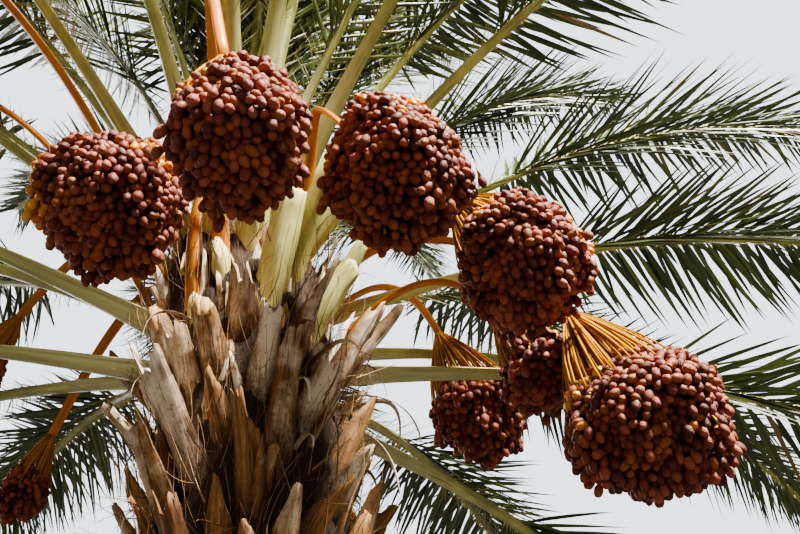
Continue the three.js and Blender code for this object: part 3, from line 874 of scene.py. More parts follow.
class PalmStageSettings(bpy.types.PropertyGroup):
    eye_height: FloatProperty(
        name="Eye height", description="Height of the camera above the ground", subtype="DISTANCE",
        default=1.5)
    camera_pitch: FloatProperty(
        name="Pitch", description="How far the camera looks up", subtype="ANGLE", default=math.radians(38))
    lens: FloatProperty(
        name="Lens", description="Focal length on a 36 mm sensor", unit="CAMERA", default=50.0)


# Trunk

# Heights between which boots change, going up: from weathered scales to fresh boots, from short to
# long, from brown to bleached, from mostly pointed to torn and sawn ends, and to the palest of all,
# which is partly bleaching and partly painted sunlight on the trunk's top

FRESHER = (1.3, 2.1)
LONGER = (1.3, 2.5)
BLEACHED = (1.6, 2.6)
TORN = (2.4, 2.9)
PALEST = (2.35, 3.0)

# Room that a boot, a splint, a strip and a fibre keep from the fruit

BOOT_ROOM = 0.072
SPLINT_ROOM = 0.03
STRIP_ROOM = 0.02
FIBRE_ROOM = 0.01

# How short a boot may be cut to keep that room, and the lowest that any of them reaches

BOOT_SHORTEST = 0.06
LOWEST_POINT = 0.002

# Splints and strips are numbered from here on, apart from the boots, so that they draw on their own

FIRST_SPLINT = 4000
FIRST_STRIP = 7000

# Strips that hang, and the azimuths of the long ones among them

STRIP_COUNT = 26
LONG_STRIPS = (-22, 8, -48)

# Points round the core and up it, and the worn edges of the boots

CORE_TURN = 72
CORE_LEVELS = 150
SOFT_EDGE = 0.0018
SOFT_ANGLE = math.radians(50)

# Materials of the boots, in the order of their slots

DRY_BOOT, BOOT_END, GREEN_STUB, STUB_END = range(4)


def boot_places():
    """Green stubs where leaves were picked, and dry boots down the same spiral, in half steps."""
    boots = []
    for i in range(HEART_LEAVES, LEAF_COUNT):
        leaf = leaf_at(i)
        if is_picked(leaf):
            boots.append({
                "number": i, "kind": "stub", "old": 0, "height": leaf["height"], "azimuth": leaf["azimuth"],
                "length": STUB_LONG * (0.85 + 0.3 * chance(i, 11)), "splay": 24 + 10 * chance(i, 12)})
    step = BOOT_STEP / 2
    for i in range(LEAF_COUNT, LEAF_COUNT + int((CROWN_FOOT - BOOT_LOWEST) / step)):
        height = CROWN_FOOT - step * (i - LEAF_COUNT + 1)
        reach = BOOT_SHORT + (BOOT_LONG - BOOT_SHORT) * smooth_step(*LONGER, height)
        old = 1 - smooth_step(*FRESHER, height)
        boots.append({
            "number": i, "kind": "boot", "old": old, "height": height,
            "azimuth": FIRST_TURN - i * GOLDEN_ANGLE + stray(i, 13, 12),
            "length": reach * (0.62 + 0.58 * chance(i, 11)) * (1 + 0.5 * old),
            "splay": (19 + 24 * chance(i, 12)) * (1 - 0.4 * old)})
    outer = np.array([0.5, 0.75, 1])
    for boot in boots:
        ahead = directions(boot["azimuth"], 90 - boot["splay"])[0]
        foot = on_trunk(boot["height"], boot["azimuth"])
        while boot["length"] > BOOT_SHORTEST and near_fruit(
            BUNCH_PLAN, foot + np.outer(boot["length"] * outer + 0.025, ahead), BOOT_ROOM
        ):
            boot["length"] *= 0.85
    return boots


def splint_places(count):
    """Split strips of old leaf bases that lean every way between the boots."""
    splints = []
    for n in range(FIRST_SPLINT, FIRST_SPLINT + count):
        splint = {
            "number": n, "kind": "splint", "old": 0, "height": 1.3 + 2.2 * chance(n, 1) ** 0.65,
            "azimuth": 360 * chance(n, 2), "length": 0.10 + 0.17 * chance(n, 3),
            "splay": 8 + 34 * chance(n, 4) ** 2}
        ahead = directions(splint["azimuth"], 90 - splint["splay"])[0]
        tip = on_trunk(splint["height"], splint["azimuth"]) + splint["length"] * ahead
        if not near_fruit(BUNCH_PLAN, tip, SPLINT_ROOM):
            splints.append(splint)
    return splints


def boot_form(boot):
    """Widths of foot and tip, and whether the end is pointed or sawn; where neither, it is torn."""
    n = boot["number"]
    if boot["kind"] == "stub":
        return BOOT_WIDTH * 0.86, BOOT_TIP_WIDTH * (0.45 + 0.35 * chance(n, 25)), False, True
    low = 1 - smooth_step(*TORN, boot["height"])
    form = chance(n, 20)
    pointed, sawn = form < 0.34 + 0.34 * low, form > 0.72 + 0.16 * low
    if boot["kind"] == "splint":
        base = 0.022 + 0.03 * chance(n, 24)
    else:
        base = BOOT_WIDTH * (0.64 + 0.27 * chance(n, 24) + 0.42 * boot["old"])
    tip = base * (0.30 + 0.14 * chance(n, 25) if pointed else 0.56 + 0.22 * chance(n, 25))
    return base, tip, pointed, sawn


def boot_end(n, c, pointed, sawn):
    """How far an end is cut on the slant, how far it is skewed, and its notches at places c across."""
    cut = -0.022 - 0.036 * chance(n, 15) if sawn else stray(n, 15, 0.02)
    skew = stray(n, 16, 0.11 if pointed else 0.05 if sawn else 0.03)
    torn = 0.005 if sawn else 0.02 if pointed else 0.06
    strips = np.array([chance(n, 60 + j) - 0.6 for j in range(5)])
    middles = np.linspace(-1, 1, 5) + stray(n, 66, 0.15)
    shreds = np.array([chance(n, 40 + j) - 0.5 for j in range(len(c))])
    notch = torn * (1.6 * np.interp(c, middles, strips) + 0.5 * shreds)
    if pointed:
        notch = notch - 0.055 * np.abs(c) ** 1.7
    return cut, skew, notch


def boot_weather(boot, share, c):
    """For each point, how bleached it is, how rusty or aged, and how near to the tip, less so at the wrapped
    edges, which sets the painted shade at the root.
    """
    n = boot["number"]
    upper = smooth_step(*BLEACHED, boot["height"])
    # The palest boots at the top: partly bleaching, partly painted sunlight
    palest = smooth_step(*PALEST, boot["height"])
    bleach = min(1, 0.50 * (0.2 + 0.8 * upper) * chance(n, 17) ** 1.8 + 0.70 * palest * chance(n, 30))
    warm = max(chance(n, 18), 0.95 - upper, 1.7 * boot["old"])
    share = np.repeat(share, len(c))
    edge = np.tile(np.abs(c), len(share) // len(c))
    return np.stack([
        bleach * (0.6 + 0.4 * share) * (1 - 0.55 * edge ** 3), warm * np.ones(len(share)),
        share * (1 - 0.6 * edge ** 3)], -1)


def plate_faces(rows, columns, kind, end_kind):
    """Faces and material slots of a plate: two grids of points, its edges and its ends."""
    faces, kinds = [], []
    back = rows * columns
    for k in range(rows - 1):
        for j in range(columns - 1):
            a = k * columns + j
            faces.append((a, a + 1, a + 1 + columns, a + columns))
            faces.append((back + a, back + a + columns, back + a + 1 + columns, back + a + 1))
            kinds += [kind, kind]
        for j, flip in ((0, False), (columns - 1, True)):
            a = k * columns + j
            quad = (a, a + columns, back + a + columns, back + a)
            faces.append(quad[::-1] if flip else quad)
            kinds.append(kind)
    last = (rows - 1) * columns
    for j in range(columns - 1):
        faces.append((last + j, last + j + 1, back + last + j + 1, back + last + j))
        faces.append((j, back + j, back + j + 1, j + 1))
        kinds += [end_kind, kind]
    return faces, kinds


def boot_shape(boot):
    """A trough-shaped stump with wrapped edges and a pointed, torn or sawn end."""
    n, length, old = boot["number"], boot["length"], boot["old"]
    stub, splint = boot["kind"] == "stub", boot["kind"] == "splint"
    base, tip, pointed, sawn = boot_form(boot)
    rows = 6 if splint or length < 0.15 else 10
    columns = 5 if splint else 11
    run = np.linspace(-ROOTED, length, rows)
    share = np.clip(run / length, 0, 1)
    c = np.linspace(-1, 1, columns)

    # Where it stands and which way it leans
    lean = stray(n, 19, 50 if splint else 16)
    roll = stray(n, 14, 14 if stub else 80 if splint else 34)
    ahead, side, up = directions(boot["azimuth"] + lean, 90 - boot["splay"], roll)
    sunk = (0.35 - 0.25 * old) * BOOT_DEPTH
    foot = on_trunk(boot["height"], boot["azimuth"], trunk_radius(boot["height"]) - sunk)

    # How wide and thick it is along its length, how its edges wrap and how it bends
    width = (base + (tip - base) * share ** (1.25 if pointed else 0.85)) / 2
    width = width * (1 + 0.06 * np.sin(7 * share + 6 * chance(n, 21)))
    deep = (0.35 if splint else 0.62 + 0.30 * chance(n, 26)) * BOOT_DEPTH
    end_depth = BOOT_TIP_DEPTH * (1.1 if sawn else 0.62)
    depth = deep + (min(deep, end_depth) - deep) * share
    ridge = 1 + 0.05 * np.sin(c * 9 + 6 * chance(n, 27))
    thick = depth[:, None] * (1 - 0.80 * np.abs(c) ** 1.8) * ridge
    wrap = (0.026 * (1 - share) + 0.009)[:, None] * c ** 2 * (0.4 if splint else 1 - 0.65 * old)
    wobble = np.array([[chance(n * 31 + k, 22 + j) - 0.5 for j in range(columns)] for k in range(rows)])
    bend = (0.10 * (chance(n, 28) - 0.55) * length * share ** 2)[:, None]
    sway = (0.16 * (chance(n, 29) - 0.5) * length * share ** 2)[:, None]

    # Its outer and inner face, drawn out and cut at the end
    cut, skew, notch = boot_end(n, c, pointed, sawn)
    late = share[:, None] ** 5
    grids = []
    for lift, fill in ((0.5, 1), (-0.5, 0.6)):
        ends = late * (cut * lift * (1.5 - 1.7 * c ** 2) + skew * c + notch)
        across = width[:, None] * c + sway
        out = lift * thick * fill + wobble * 0.006 - wrap + bend
        grids.append(foot + ahead * (run[:, None] + ends)[..., None] + side * across[..., None]
                     - up * out[..., None])
    points = np.concatenate([grid.reshape(-1, 3) for grid in grids])
    points[:, 2] = np.maximum(points[:, 2], LOWEST_POINT)

    # Its map, on a stretch of the streaks that is its own
    u = (width[:, None] * c).ravel() + n * 0.37
    v = np.repeat(run, columns) + n * 0.71
    uvs = np.concatenate([np.stack([u, v], -1), np.stack([u + 0.2, v], -1)])
    pale_end = sawn and smooth_step(*BLEACHED, boot["height"]) > 0.8
    skin, end_skin = (GREEN_STUB, STUB_END) if stub else (DRY_BOOT, BOOT_END if pale_end else DRY_BOOT)
    faces, kinds = plate_faces(rows, columns, skin, end_skin)
    weather = boot_weather(boot, share, c)
    return points, faces, uvs, kinds, np.vstack([weather, weather])


def boot_skin(name, dark, gold, pale):
    """Dry leaf base: near-black at its root and wrapped edges, which is painted shade where it tucks in
    among the other boots, golden brown above, bleached in patches that follow its grain.
    """
    material, tree, shader = new_material(name, gold, 0.75)
    marks = use_group(tree, FIBRES, place_on(tree, "UV"), Across=120.0, Length=7.0)
    bleach, warm, height = weather_of(tree)
    patch = use_group(tree, DUST, place_on(tree), Scale=16.0, Amount=0.42)
    streak = remap(tree, marks["Streak"], 0.34, 0.58)
    color = blend(tree, streak, dark, gold)
    rust = blend(tree, streak, shaded(dark, 0.7), (0.27, 0.115, 0.040))
    color = blend(tree, remap(tree, warm, 0.55, 0.9), color, rust)
    aged = blend(tree, streak, shaded(dark, 0.8), (0.25, 0.15, 0.085))
    color = blend(tree, remap(tree, warm, 1.1, 1.6), color, aged)
    white = math_node(tree, "ADD", bleach, math_node(tree, "MULTIPLY_ADD", marks["Streak"], 0.5, -0.36))
    white = math_node(tree, "ADD", white, math_node(tree, "MULTIPLY", patch["Mask"], 0.7))
    color = blend(tree, remap(tree, white, 0.20, 0.62), color, pale)
    speck = remap(tree, patch["Grain"], 0.31, 0.39, 0.5, 1.0)
    color = blend(tree, speck, shaded(dark, 0.6), color)
    # Painted shade: near-black towards the root and the wrapped edges, where the boot tucks in among the
    # others
    root = math_node(tree, "ADD", height, math_node(tree, "MULTIPLY_ADD", patch["Grain"], 0.4, -0.2))
    color = blend(tree, remap(tree, root, 0.0, 0.42), shaded(dark, 0.35), color)
    crack = remap(tree, marks["Crack"], 0.0, 1.0, 0.45, 1.0)
    tree.links.new(blend(tree, crack, (0.022, 0.009, 0.003), color), shader.inputs["Base Color"])
    tree.links.new(remap(tree, marks["Streak"], 0.3, 0.7, 0.88, 0.62), shader.inputs["Roughness"])
    bump(tree, shader, marks["Height"], 0.6, 0.004)
    return material


def fibre_shape(name, bow, drift):
    """A three-sided fibre one unit long on Y, which bows up and drifts aside."""
    rows = 5
    y = np.linspace(0, 1, rows)
    bow = bow * np.sin(math.pi * y * 0.9)
    drift = drift * y * y
    half = 0.5 * (1 - 0.75 * y)
    left = np.stack([drift - half * 0.03, y, bow], -1)
    right = np.stack([drift + half * 0.03, y, bow + 0.006], -1)
    crest = np.stack([drift, y, bow + half * 0.02 + 0.004], -1)
    faces = []
    for a in range(rows - 1):
        for p, q in ((0, 2 * rows), (2 * rows, rows), (rows, 0)):
            faces.append((a + p, a + 1 + p, a + 1 + q, a + q))
    return mesh_object(name, np.vstack([left, right, crest]), faces)


class OBJECT_OT_palm_trunk(bpy.types.Operator):
    """Builds the fibrous core, the dry boots, the green stubs and the loose strips"""
    bl_idname = "object.palm_trunk"
    bl_label = "Trunk and boots"

    def execute(self, context):
        settings = context.scene.palm_trunk
        dry = boot_skin(
            "Dry boot", tuple(settings.boot_dark), tuple(settings.boot_gold), tuple(settings.boot_pale))
        self.core(tuple(settings.core_color))
        self.boots(settings.splint_count, dry)
        self.loose_strips(settings.strip_count)
        self.hanging_strips(dry)
        return {"FINISHED"}

    def core(self, color):
        """The core of dark fibre that shows between the boots, woven and knotted."""
        fibre = streaked(
            "Trunk fibre", (0.03, 0.017, 0.009), color, 0.85, (0.006, 0.004, 0.003),
            across=46.0, length=16.0, relief=0.012, foot=(0.060, 0.034, 0.018))
        z = np.linspace(0, TRUNK_HEIGHT, CORE_LEVELS)
        angle = np.arange(CORE_TURN) * 360 / CORE_TURN
        knots = np.array([
            [chance(k * 7 + 3, j + 60) for j in range(CORE_TURN)] for k in range(CORE_LEVELS)])
        phi, rise = np.radians(angle)[None], z[:, None]
        weave = 0.5 + 0.5 * np.sin(phi * 13 + rise * 38) * np.sin(phi * 8 - rise * 46)
        fade = np.minimum(1, (TRUNK_HEIGHT - z) / 0.2)[:, None]
        low, high = FRESHER
        calm = (0.35 + 0.65 * np.clip((z - low) / (high - low), 0, 1))[:, None]
        radius = trunk_radius(z)[:, None] + fade * calm * (0.016 * weave + 0.012 * knots - 0.006)
        radius[0] = trunk_radius(0.0) + 0.006 * (weave[0] - 0.5)
        points = np.stack([
            trunk_axis(z)[:, None] + radius * cosine(angle), radius * sine(angle),
            z[:, None] * np.ones(CORE_TURN)], -1)
        uvs = np.stack([np.tile(angle / 360 * 1.6, CORE_LEVELS), np.repeat(z, CORE_TURN)], -1)
        fresh = 0.3 * np.clip((np.repeat(z, CORE_TURN) - 1.0) / 1.3, 0, 1)
        mass = Mass()
        faces = ring_faces(CORE_LEVELS, CORE_TURN)
        mass.add(points.reshape(-1, 3), faces, uvs, weather=np.stack([fresh] * 3, -1))
        settle(mass.build("trunk_core", [fibre]), "trunk", "trunk")

    def boots(self, splint_count, dry):
        """All boots, stubs and splints, with worn edges."""
        cut = streaked(
            "Sawn boot end", (0.46, 0.23, 0.08), (0.80, 0.53, 0.26), 0.75, (0.28, 0.12, 0.04),
            across=240.0, length=240.0, relief=0.002)
        green = streaked(
            "Green stub", (0.34, 0.34, 0.07), (0.80, 0.79, 0.34), 0.42, (0.46, 0.40, 0.13),
            across=60.0, length=2.5, relief=0.0015, coat_weight=0.2)
        fresh = streaked(
            "Sawn stub end", (0.66, 0.46, 0.17), (0.88, 0.72, 0.38), 0.6, (0.5, 0.30, 0.10),
            across=260.0, length=260.0, relief=0.001)
        mass = Mass()
        for boot in boot_places() + splint_places(splint_count):
            mass.add(*boot_shape(boot))
        piece = mass.build("trunk_boots", [dry, cut, green, fresh])
        edge = piece.modifiers.new("Soft edges", "BEVEL")
        edge.width = SOFT_EDGE
        edge.segments = 1
        edge.limit_method = "ANGLE"
        edge.angle_limit = SOFT_ANGLE
        settle(piece, "trunk", "trunk")

    def hanging_strips(self, material):
        """Long dry strips of old leaf bases that bow out from the upper boots and hang."""
        outline = np.array(((1, 0.2), (0.4, 0.9), (-0.4, 0.9), (-1, 0.2), (-0.5, -0.6), (0.5, -0.6)))
        down = np.array([0, 0, -1.0])
        t = np.linspace(0, 1, 12)
        mass = Mass()
        for k in range(STRIP_COUNT):
            n = FIRST_STRIP + k
            if k < len(LONG_STRIPS):
                azimuth = LONG_STRIPS[k]
                height, length = 2.75 + 0.45 * chance(n, 2), 0.40 + 0.10 * chance(n, 3)
            else:
                azimuth = 360 * chance(n, 1)
                height, length = 2.3 + 0.9 * chance(n, 2), 0.16 + 0.22 * chance(n, 3)
            ahead, side, _ = directions(azimuth + stray(n, 4, 30), 50 - 40 * chance(n, 5))
            foot = on_trunk(height, azimuth, trunk_radius(height) - 0.01)
            bow = (foot + ahead * 0.62 * length + down * 0.22 * length
                   + side * 0.12 * length * (chance(n, 6) - 0.5))
            end = (foot + ahead * (0.55 + 0.15 * chance(n, 7)) * length
                   + down * (0.45 + 0.3 * chance(n, 8)) * length)
            controls = (foot, foot + ahead * 0.42 * length, bow, end)
            points, ways = curve_point(controls, t), curve_way(controls, t)
            if near_fruit(BUNCH_PLAN, points[2:], STRIP_ROOM):
                continue
            turn = stray(n, 9, 140) * t
            sides = unit(np.cross(ways, np.cross(side, ways)))
            ups = np.cross(ways, sides)
            sides = sides * cosine(turn)[:, None] + ups * sine(turn)[:, None]
            ups = np.cross(ways, sides)
            widths = (0.011 + 0.012 * chance(n, 10)) * (1 - 0.75 * t ** 2)
            strip = tube(points, sides, ups, outline, widths, 0.0035 * (1 - 0.5 * t), n * 0.37)
            # Paler towards the free end; the third value, low at the root, gives it the boot skin's painted
            # shade there
            fade = np.repeat(0.3 + 0.7 * t, len(outline))
            bleach = (0.35 + 0.5 * chance(n, 11)) * fade
            mass.add(*strip, weather=np.stack([bleach, chance(n, 12) * np.ones(len(fade)), fade], -1))
        settle(mass.build("trunk_strips", [material]), "trunk", "trunk")

    def loose_strips(self, count):
        """Dry fibres that lie on the core or stand out from it between the boots."""
        finishes = [
            plain_skin("Pale fibre", (0.54, 0.34, 0.16), 0.75, 90.0),
            plain_skin("Brown fibre", (0.27, 0.13, 0.048), 0.8, 90.0),
            plain_skin("Dark fibre", (0.050, 0.022, 0.009), 0.85, 90.0),
        ]
        forms = ((0.05, 0.05), (0.14, -0.12), (-0.10, 0.16))
        shapes = [fibre_shape(f"fibre_{k}", bow, drift) for k, (bow, drift) in enumerate(forms)]
        fibres = []
        for m in range(count):
            height = 0.12 + 3.5 * chance(m, 74) ** 0.6
            azimuth = 360 * chance(m, 72)
            tall = height > 2.0
            lying = chance(m, 73) < 0.62
            spread = stray(m, 75, 150 if lying else 80)
            rise = (84 - 34 * chance(m, 76)) if lying else (70 - 100 * chance(m, 76) ** 1.6)
            way, _, up = directions(azimuth + spread, rise)
            length = (0.055 + 0.13 * chance(m, 77) ** 2.2) * (1.0 if tall else 0.65)
            out = 0.008 + (0.02 + 0.07 * tall) * chance(m, 79) ** 1.5
            base = on_trunk(height, azimuth, trunk_radius(height) + out)
            tip = base + way * length
            if tip[2] < 0.03 or near_fruit(BUNCH_PLAN, tip, FIBRE_ROOM):
                continue
            thick = length * (0.5 + 0.8 * chance(m, 80) ** 3)
            shade = pick(chance(m, 78), (0.27, 0.76))
            fibres.append((base, way, up, (thick, length, thick), m % len(shapes), shade))
        piece = scatter("trunk_fibres", *zip(*fibres), shapes, finishes, turn=1.2)
        drop(shapes)
        settle(piece, "trunk", "trunk")


# Fronds

Leaflet = namedtuple("Leaflet", "root way normal size draw spine young")

# Materials of the leaflets, in the order of their slots

GREEN, DEEP_GREEN, GREY_GREEN, YOUNG_GREEN, DRY_TIP, SPINE = range(6)

# Leaflets: up to which age of the leaf they are young, how each group is lifted, where on the rib the
# last one sits, and the size of their feet

YOUNG_AGE = 0.3
LEAFLET_LIFTS = (46, 8, -26)
LAST_LEAFLET = 0.992
FOOT_SIZE = (0.010, 0.036, 0.010)
LEAFLET_PARTS = 3

# Spines: the share of the rib below the leaflets that bears them, and their width by a leaflet's

SPINE_SPAN = 0.1
SPINE_WIDTH = 0.22

# Room that leaflets keep from the fruit, how they are shortened for it, and which bunches are near

LEAFLET_ROOM = 0.008
LEAFLET_TRIES = 3
SHORTENING = 0.72
BUNCH_NEAR = 0.9

# Ribs: rows of points, the angle from which an edge is sharp, and what a rib of the heart has less

RIB_ROWS = 44
HEART_RIB_ROWS = 30
RIM_ANGLE = math.radians(35)
HEART_SLIM = 0.72
HEART_SHARE = 0.92

# Spears in the middle of the heart

SPEAR_LENGTHS = (1.9, 1.5, 1.2, 0.8)
SPEAR_WIDTH = 0.078


def leaflet_shape(name, fold, sag, twist):
    """A folded blade one unit long and wide, its root at the origin and its tip ahead on Y."""
    levels = ((0, 0.16), (0.06, 0.34), (0.28, 0.5), (0.55, 0.42), (0.8, 0.24), (1.0, 0.0))
    points, faces = [], []
    for k, (v, w) in enumerate(levels):
        roll = math.radians(twist) * v
        for s in (-1, 0, 1) if w else (0,):
            x, z = s * w, abs(s) * w * fold * (1 - 0.6 * v)
            points.append((
                x * math.cos(roll) - z * math.sin(roll), v,
                x * math.sin(roll) + z * math.cos(roll) - sag * v ** 2))
        if k and w:
            a = 3 * (k - 1)
            faces += [(a, a + 1, a + 4, a + 3), (a + 1, a + 2, a + 5, a + 4)]
    a = 3 * (len(levels) - 2)
    faces += [(a, a + 1, a + 3), (a + 1, a + 2, a + 3)]
    return mesh_object(name, points, faces)


def leaflets_of(leaf, per_side, width, slim, first=LEAF_START):
    """One leaf's leaflets, in groups that rise, lie flat and hang, and the spines below them."""
    leaflets = []
    n = leaf["number"]
    fold_in = 1 - 0.45 * max(0, 1 - n / 14)
    for s in (-1, 1):
        places = np.linspace(first - SPINE_SPAN, LAST_LEAFLET, per_side + per_side // 8)
        shifts = np.array([chance(n * 97 + k, 30 + s) for k in range(len(places))]) - 0.5
        places = places + shifts * 0.006
        points, (ahead, side, up) = rib_path(leaf, places)
        for k, place in enumerate(places):
            share = (place - first) / (1 - first)
            spine = share < 0.02
            share = max(share, 0)
            r = [chance(n * 131 + k * 2 + s, 50 + j) for j in range(5)]

            # Which way it points and faces
            spread = (44 - 22 * share + 12 * (r[1] - 0.5)) * fold_in
            lift = LEAFLET_LIFTS[(k // 2) % 3] + 22 * (r[2] - 0.5)
            way = (ahead[k] * cosine(spread) + side[k] * s * sine(spread) * cosine(lift)
                   + up[k] * sine(spread) * sine(lift))
            sag = 0.10 + 0.16 * leaf["age"]
            way = unit(way - np.array([0, 0, 1.0]) * sag * (0.25 if spine else 0.8))
            normal = up[k] * cosine(lift) - side[k] * s * sine(lift)
            normal = unit(normal + side[k] * s * 0.5 * (r[3] - 0.3))
            normal = unit(normal - way * (normal @ way))

            # How long and wide it is
            if spine:
                length = 0.05 + 0.10 * max(0, (place - first + 0.1) / SPINE_SPAN) * (0.7 + 0.5 * r[0])
                w = width * SPINE_WIDTH
            else:
                length = float(along(LEAFLET_LENGTH, share)) * leaf["length"] / FROND_LENGTH
                length *= (1.30 - 0.14 * share) * (0.86 + 0.20 * r[0])
                w = width * (0.75 + 0.35 * math.sin(math.pi * min(1, share + 0.25)))
            w *= 0.6 + 0.4 * slim
            root = points[k] + side[k] * s * float(along(RIB_WIDTH, place)) * 0.42 * slim

            # It ends before the fruit, or is left out where it can't
            near = [bunch for bunch in BUNCH_PLAN if np.abs(bunch["middle"] - root).max() < BUNCH_NEAR]
            for _ in range(LEAFLET_TRIES):
                outer = root + np.outer((0.4, 0.7, 1.0), way * length)
                if not near_fruit(near, outer, LEAFLET_ROOM):
                    young = leaf["age"] < YOUNG_AGE
                    leaflets.append(Leaflet(root, way, normal, (w, length, w), r[4], spine, young))
                    break
                length *= SHORTENING
    return leaflets


def leaflet_shade(leaflet):
    """Spines apart, bright greens on young leaves and mixed ones, some grey or dry, on the rest."""
    if leaflet.spine:
        return SPINE
    if leaflet.young:
        return YOUNG_GREEN if leaflet.draw > 0.5 else GREEN
    return pick(leaflet.draw, (0.40, 0.66, 0.93, 0.985))


class OBJECT_OT_palm_fronds(bpy.types.Operator):
    """Builds the ribs, the leaflets and the folded young leaves of the heart"""
    bl_idname = "object.palm_fronds"
    bl_label = "Fronds and heart"

    def execute(self, context):
        settings = context.scene.palm_fronds
        names = [f"frond_{k + 1:02d}" for k in range(len(FROND_PLAN))]
        rib = streaked(
            "Rib", tuple(settings.rib_dark), tuple(settings.rib_pale), 0.42, (0.30, 0.28, 0.08),
            across=34.0, length=1.6, relief=0.001, foot=(0.84, 0.80, 0.42), coat_weight=0.2)
        settle(self.ribs("frond_ribs", FROND_PLAN, 1.0, RIB_ROWS, rib), "fronds", *names)
        settle(self.ribs("heart_ribs", HEART_PLAN, HEART_SLIM, HEART_RIB_ROWS, rib), "heart", "heart")
        settle(self.bud(rib), "heart", "heart")

        finishes = self.leaf_finishes(np.array(settings.leaf_color))
        shapes = [
            leaflet_shape("leaflet_flat", 0.55, 0.12, 0), leaflet_shape("leaflet_bent", 0.7, 1.20, 14),
            leaflet_shape("leaflet_turned", 0.45, 0.66, -38)]
        count, width = settings.leaflets, settings.leaflet_width
        fronds = [leaflets_of(leaf, count, width, 1.0) for leaf in FROND_PLAN]
        for part in range(LEAFLET_PARTS):
            chosen = sum(fronds[part::LEAFLET_PARTS], [])
            piece = self.spray(f"leaflets_{part + 1}", chosen, shapes, finishes)
            settle(piece, "fronds", *names[part::LEAFLET_PARTS])
        heart = [
            leaflets_of(leaf, int(count * HEART_SHARE), width, HEART_SLIM, HEART_LEAF_START)
            for leaf in HEART_PLAN]
        settle(self.spray("heart_leaflets", sum(heart, []), shapes, finishes), "heart", "heart")
        drop(shapes)
        settle(self.leaflet_feet(sum(fronds, [])), "fronds", *names)
        return {"FINISHED"}

    def leaf_finishes(self, color):
        """Materials of leaflets and spines, in the order of their slots."""
        finishes = [
            plain_skin(f"Leaf {label}", tuple(color * tint), rough, 26.0, specular_ior_level=0.65)
            for label, tint, rough in (
                ("green", (1, 1, 1), 0.36), ("deep green", (0.6, 0.66, 0.7), 0.38),
                ("grey green", (1.8, 1.65, 2.3), 0.42), ("young green", (2.0, 1.8, 1.3), 0.36))]
        return finishes + [
            plain_skin("Leaf dry tip", (0.33, 0.24, 0.11), 0.65, 26.0),
            plain_skin("Spine", (0.38, 0.36, 0.13), 0.45, 26.0)]

    def leaflet_feet(self, leaflets):
        """The pale swollen foot of each leaflet, where it leaves the rib."""
        base = [(0.5 * math.cos(a), 0, 0.5 * math.sin(a)) for a in np.radians((90, 210, 330))]
        shape = mesh_object("leaflet_foot", base + [(0, 1, 0)], [(0, 1, 3), (1, 2, 3), (2, 0, 3)])
        skin = plain_skin("Leaflet foot", (0.66, 0.60, 0.24), 0.45, 40.0)
        rows = [(leaflet.root, leaflet.way, leaflet.normal, FOOT_SIZE, 0, 0)
                for leaflet in leaflets if not leaflet.spine]
        piece = scatter("leaflet_feet", *zip(*rows), [shape], [skin])
        drop([shape])
        return piece

    def spray(self, name, leaflets, shapes, finishes):
        """Leaflets in three forms, in about equal shares."""
        rows = []
        for k, leaflet in enumerate(leaflets):
            kind = 2 if chance(k, 90) > 0.7 else 1 if chance(k, 91) > 0.45 else 0
            rows.append((*leaflet[:4], kind, leaflet_shade(leaflet)))
        return scatter(name, *zip(*rows), shapes, finishes, turn=0.35)

    def ribs(self, name, leaves, slim, rows, skin):
        """Ribs with a broad foot, a channel above and a keel below."""
        outline = np.array((
            (1, 0.10), (0.86, 0.42), (0.45, 0.36), (0, 0.20), (-0.45, 0.36), (-0.86, 0.42),
            (-1, 0.10), (-0.80, -0.46), (-0.42, -0.86), (0, -1.05), (0.42, -0.86), (0.80, -0.46)))
        mass = Mass()
        for leaf in leaves:
            places = np.concatenate([[-ROOTED / leaf["length"]], np.linspace(0, 1, rows) ** 1.15])
            points, (_, side, up) = rib_path(leaf, places)
            spot = np.maximum(places, 0)
            widths = along(RIB_WIDTH, spot) * slim * (1 + 0.22 * np.exp(-spot / 0.012))
            depths = along(RIB_DEPTH, spot) * slim * 1.12
            rib = tube(points, side, up, outline, widths, depths, leaf["number"] * 0.77)
            share = np.repeat(spot, len(outline))
            mass.add(*rib, weather=np.stack([share, share, share], -1))
        piece = mass.build(name, [skin])
        piece.data.set_sharp_from_angle(angle=RIM_ANGLE)
        return piece

    def bud(self, skin):
        """Unopened spear leaves in the middle of the crown."""
        mass = Mass()
        phi = np.radians(np.arange(10) * 36)
        outline = np.stack([np.cos(phi), np.sin(phi)], -1)
        t = np.linspace(0, 1, 14)
        side = np.tile((1.0, 0, 0), (len(t), 1))
        up = np.tile((0, 1.0, 0), (len(t), 1))
        widths = SPEAR_WIDTH * (1 - t) ** 0.7 + 0.004
        top = np.array([trunk_axis(TRUNK_HEIGHT), 0, TRUNK_HEIGHT - 0.01])
        for k, length in enumerate(SPEAR_LENGTHS):
            lean = directions(90 * k + 20, 86 - 2 * k)[0]
            centres = top + 0.03 * directions(90 * k, 0)[0] + np.outer(t * length, lean)
            spear = tube(centres, side, up, outline, widths, widths, 0.3 * k)
            mass.add(*spear, weather=np.ones((len(spear[0]), 3)))
        return mass.build("heart_spears", [skin])


# Fruit

Date = namedtuple("Date", "root way size kind shade loose")

# Materials of the dates, in the order of their slots

RED_BROWN, DARK, ROSE, TAWNY, ORANGE, YELLOW = range(6)

# Materials of a bunch's strands and of the near-black body behind its dates, which is painted shade, in the
# order of their slots

STRAND_YELLOW, STRAND_ORANGE, PAINTED_SHADE = range(3)

# Stalks and strands: rows and sides of their tubes, the strands' thickness at the neck and how far they
# run in among the dates, and the width of a bunch that has its full number of them

STALK_ROWS = 27
STALK_SIDES = 14
STRAND_ROWS = 6
STRAND_THICK = 0.0085
STRAND_SUNK = 0.022
FULL_WIDTH = 0.42

# The near-black body behind the dates, painted shade for the gaps between them: points round it, rings and
# depth

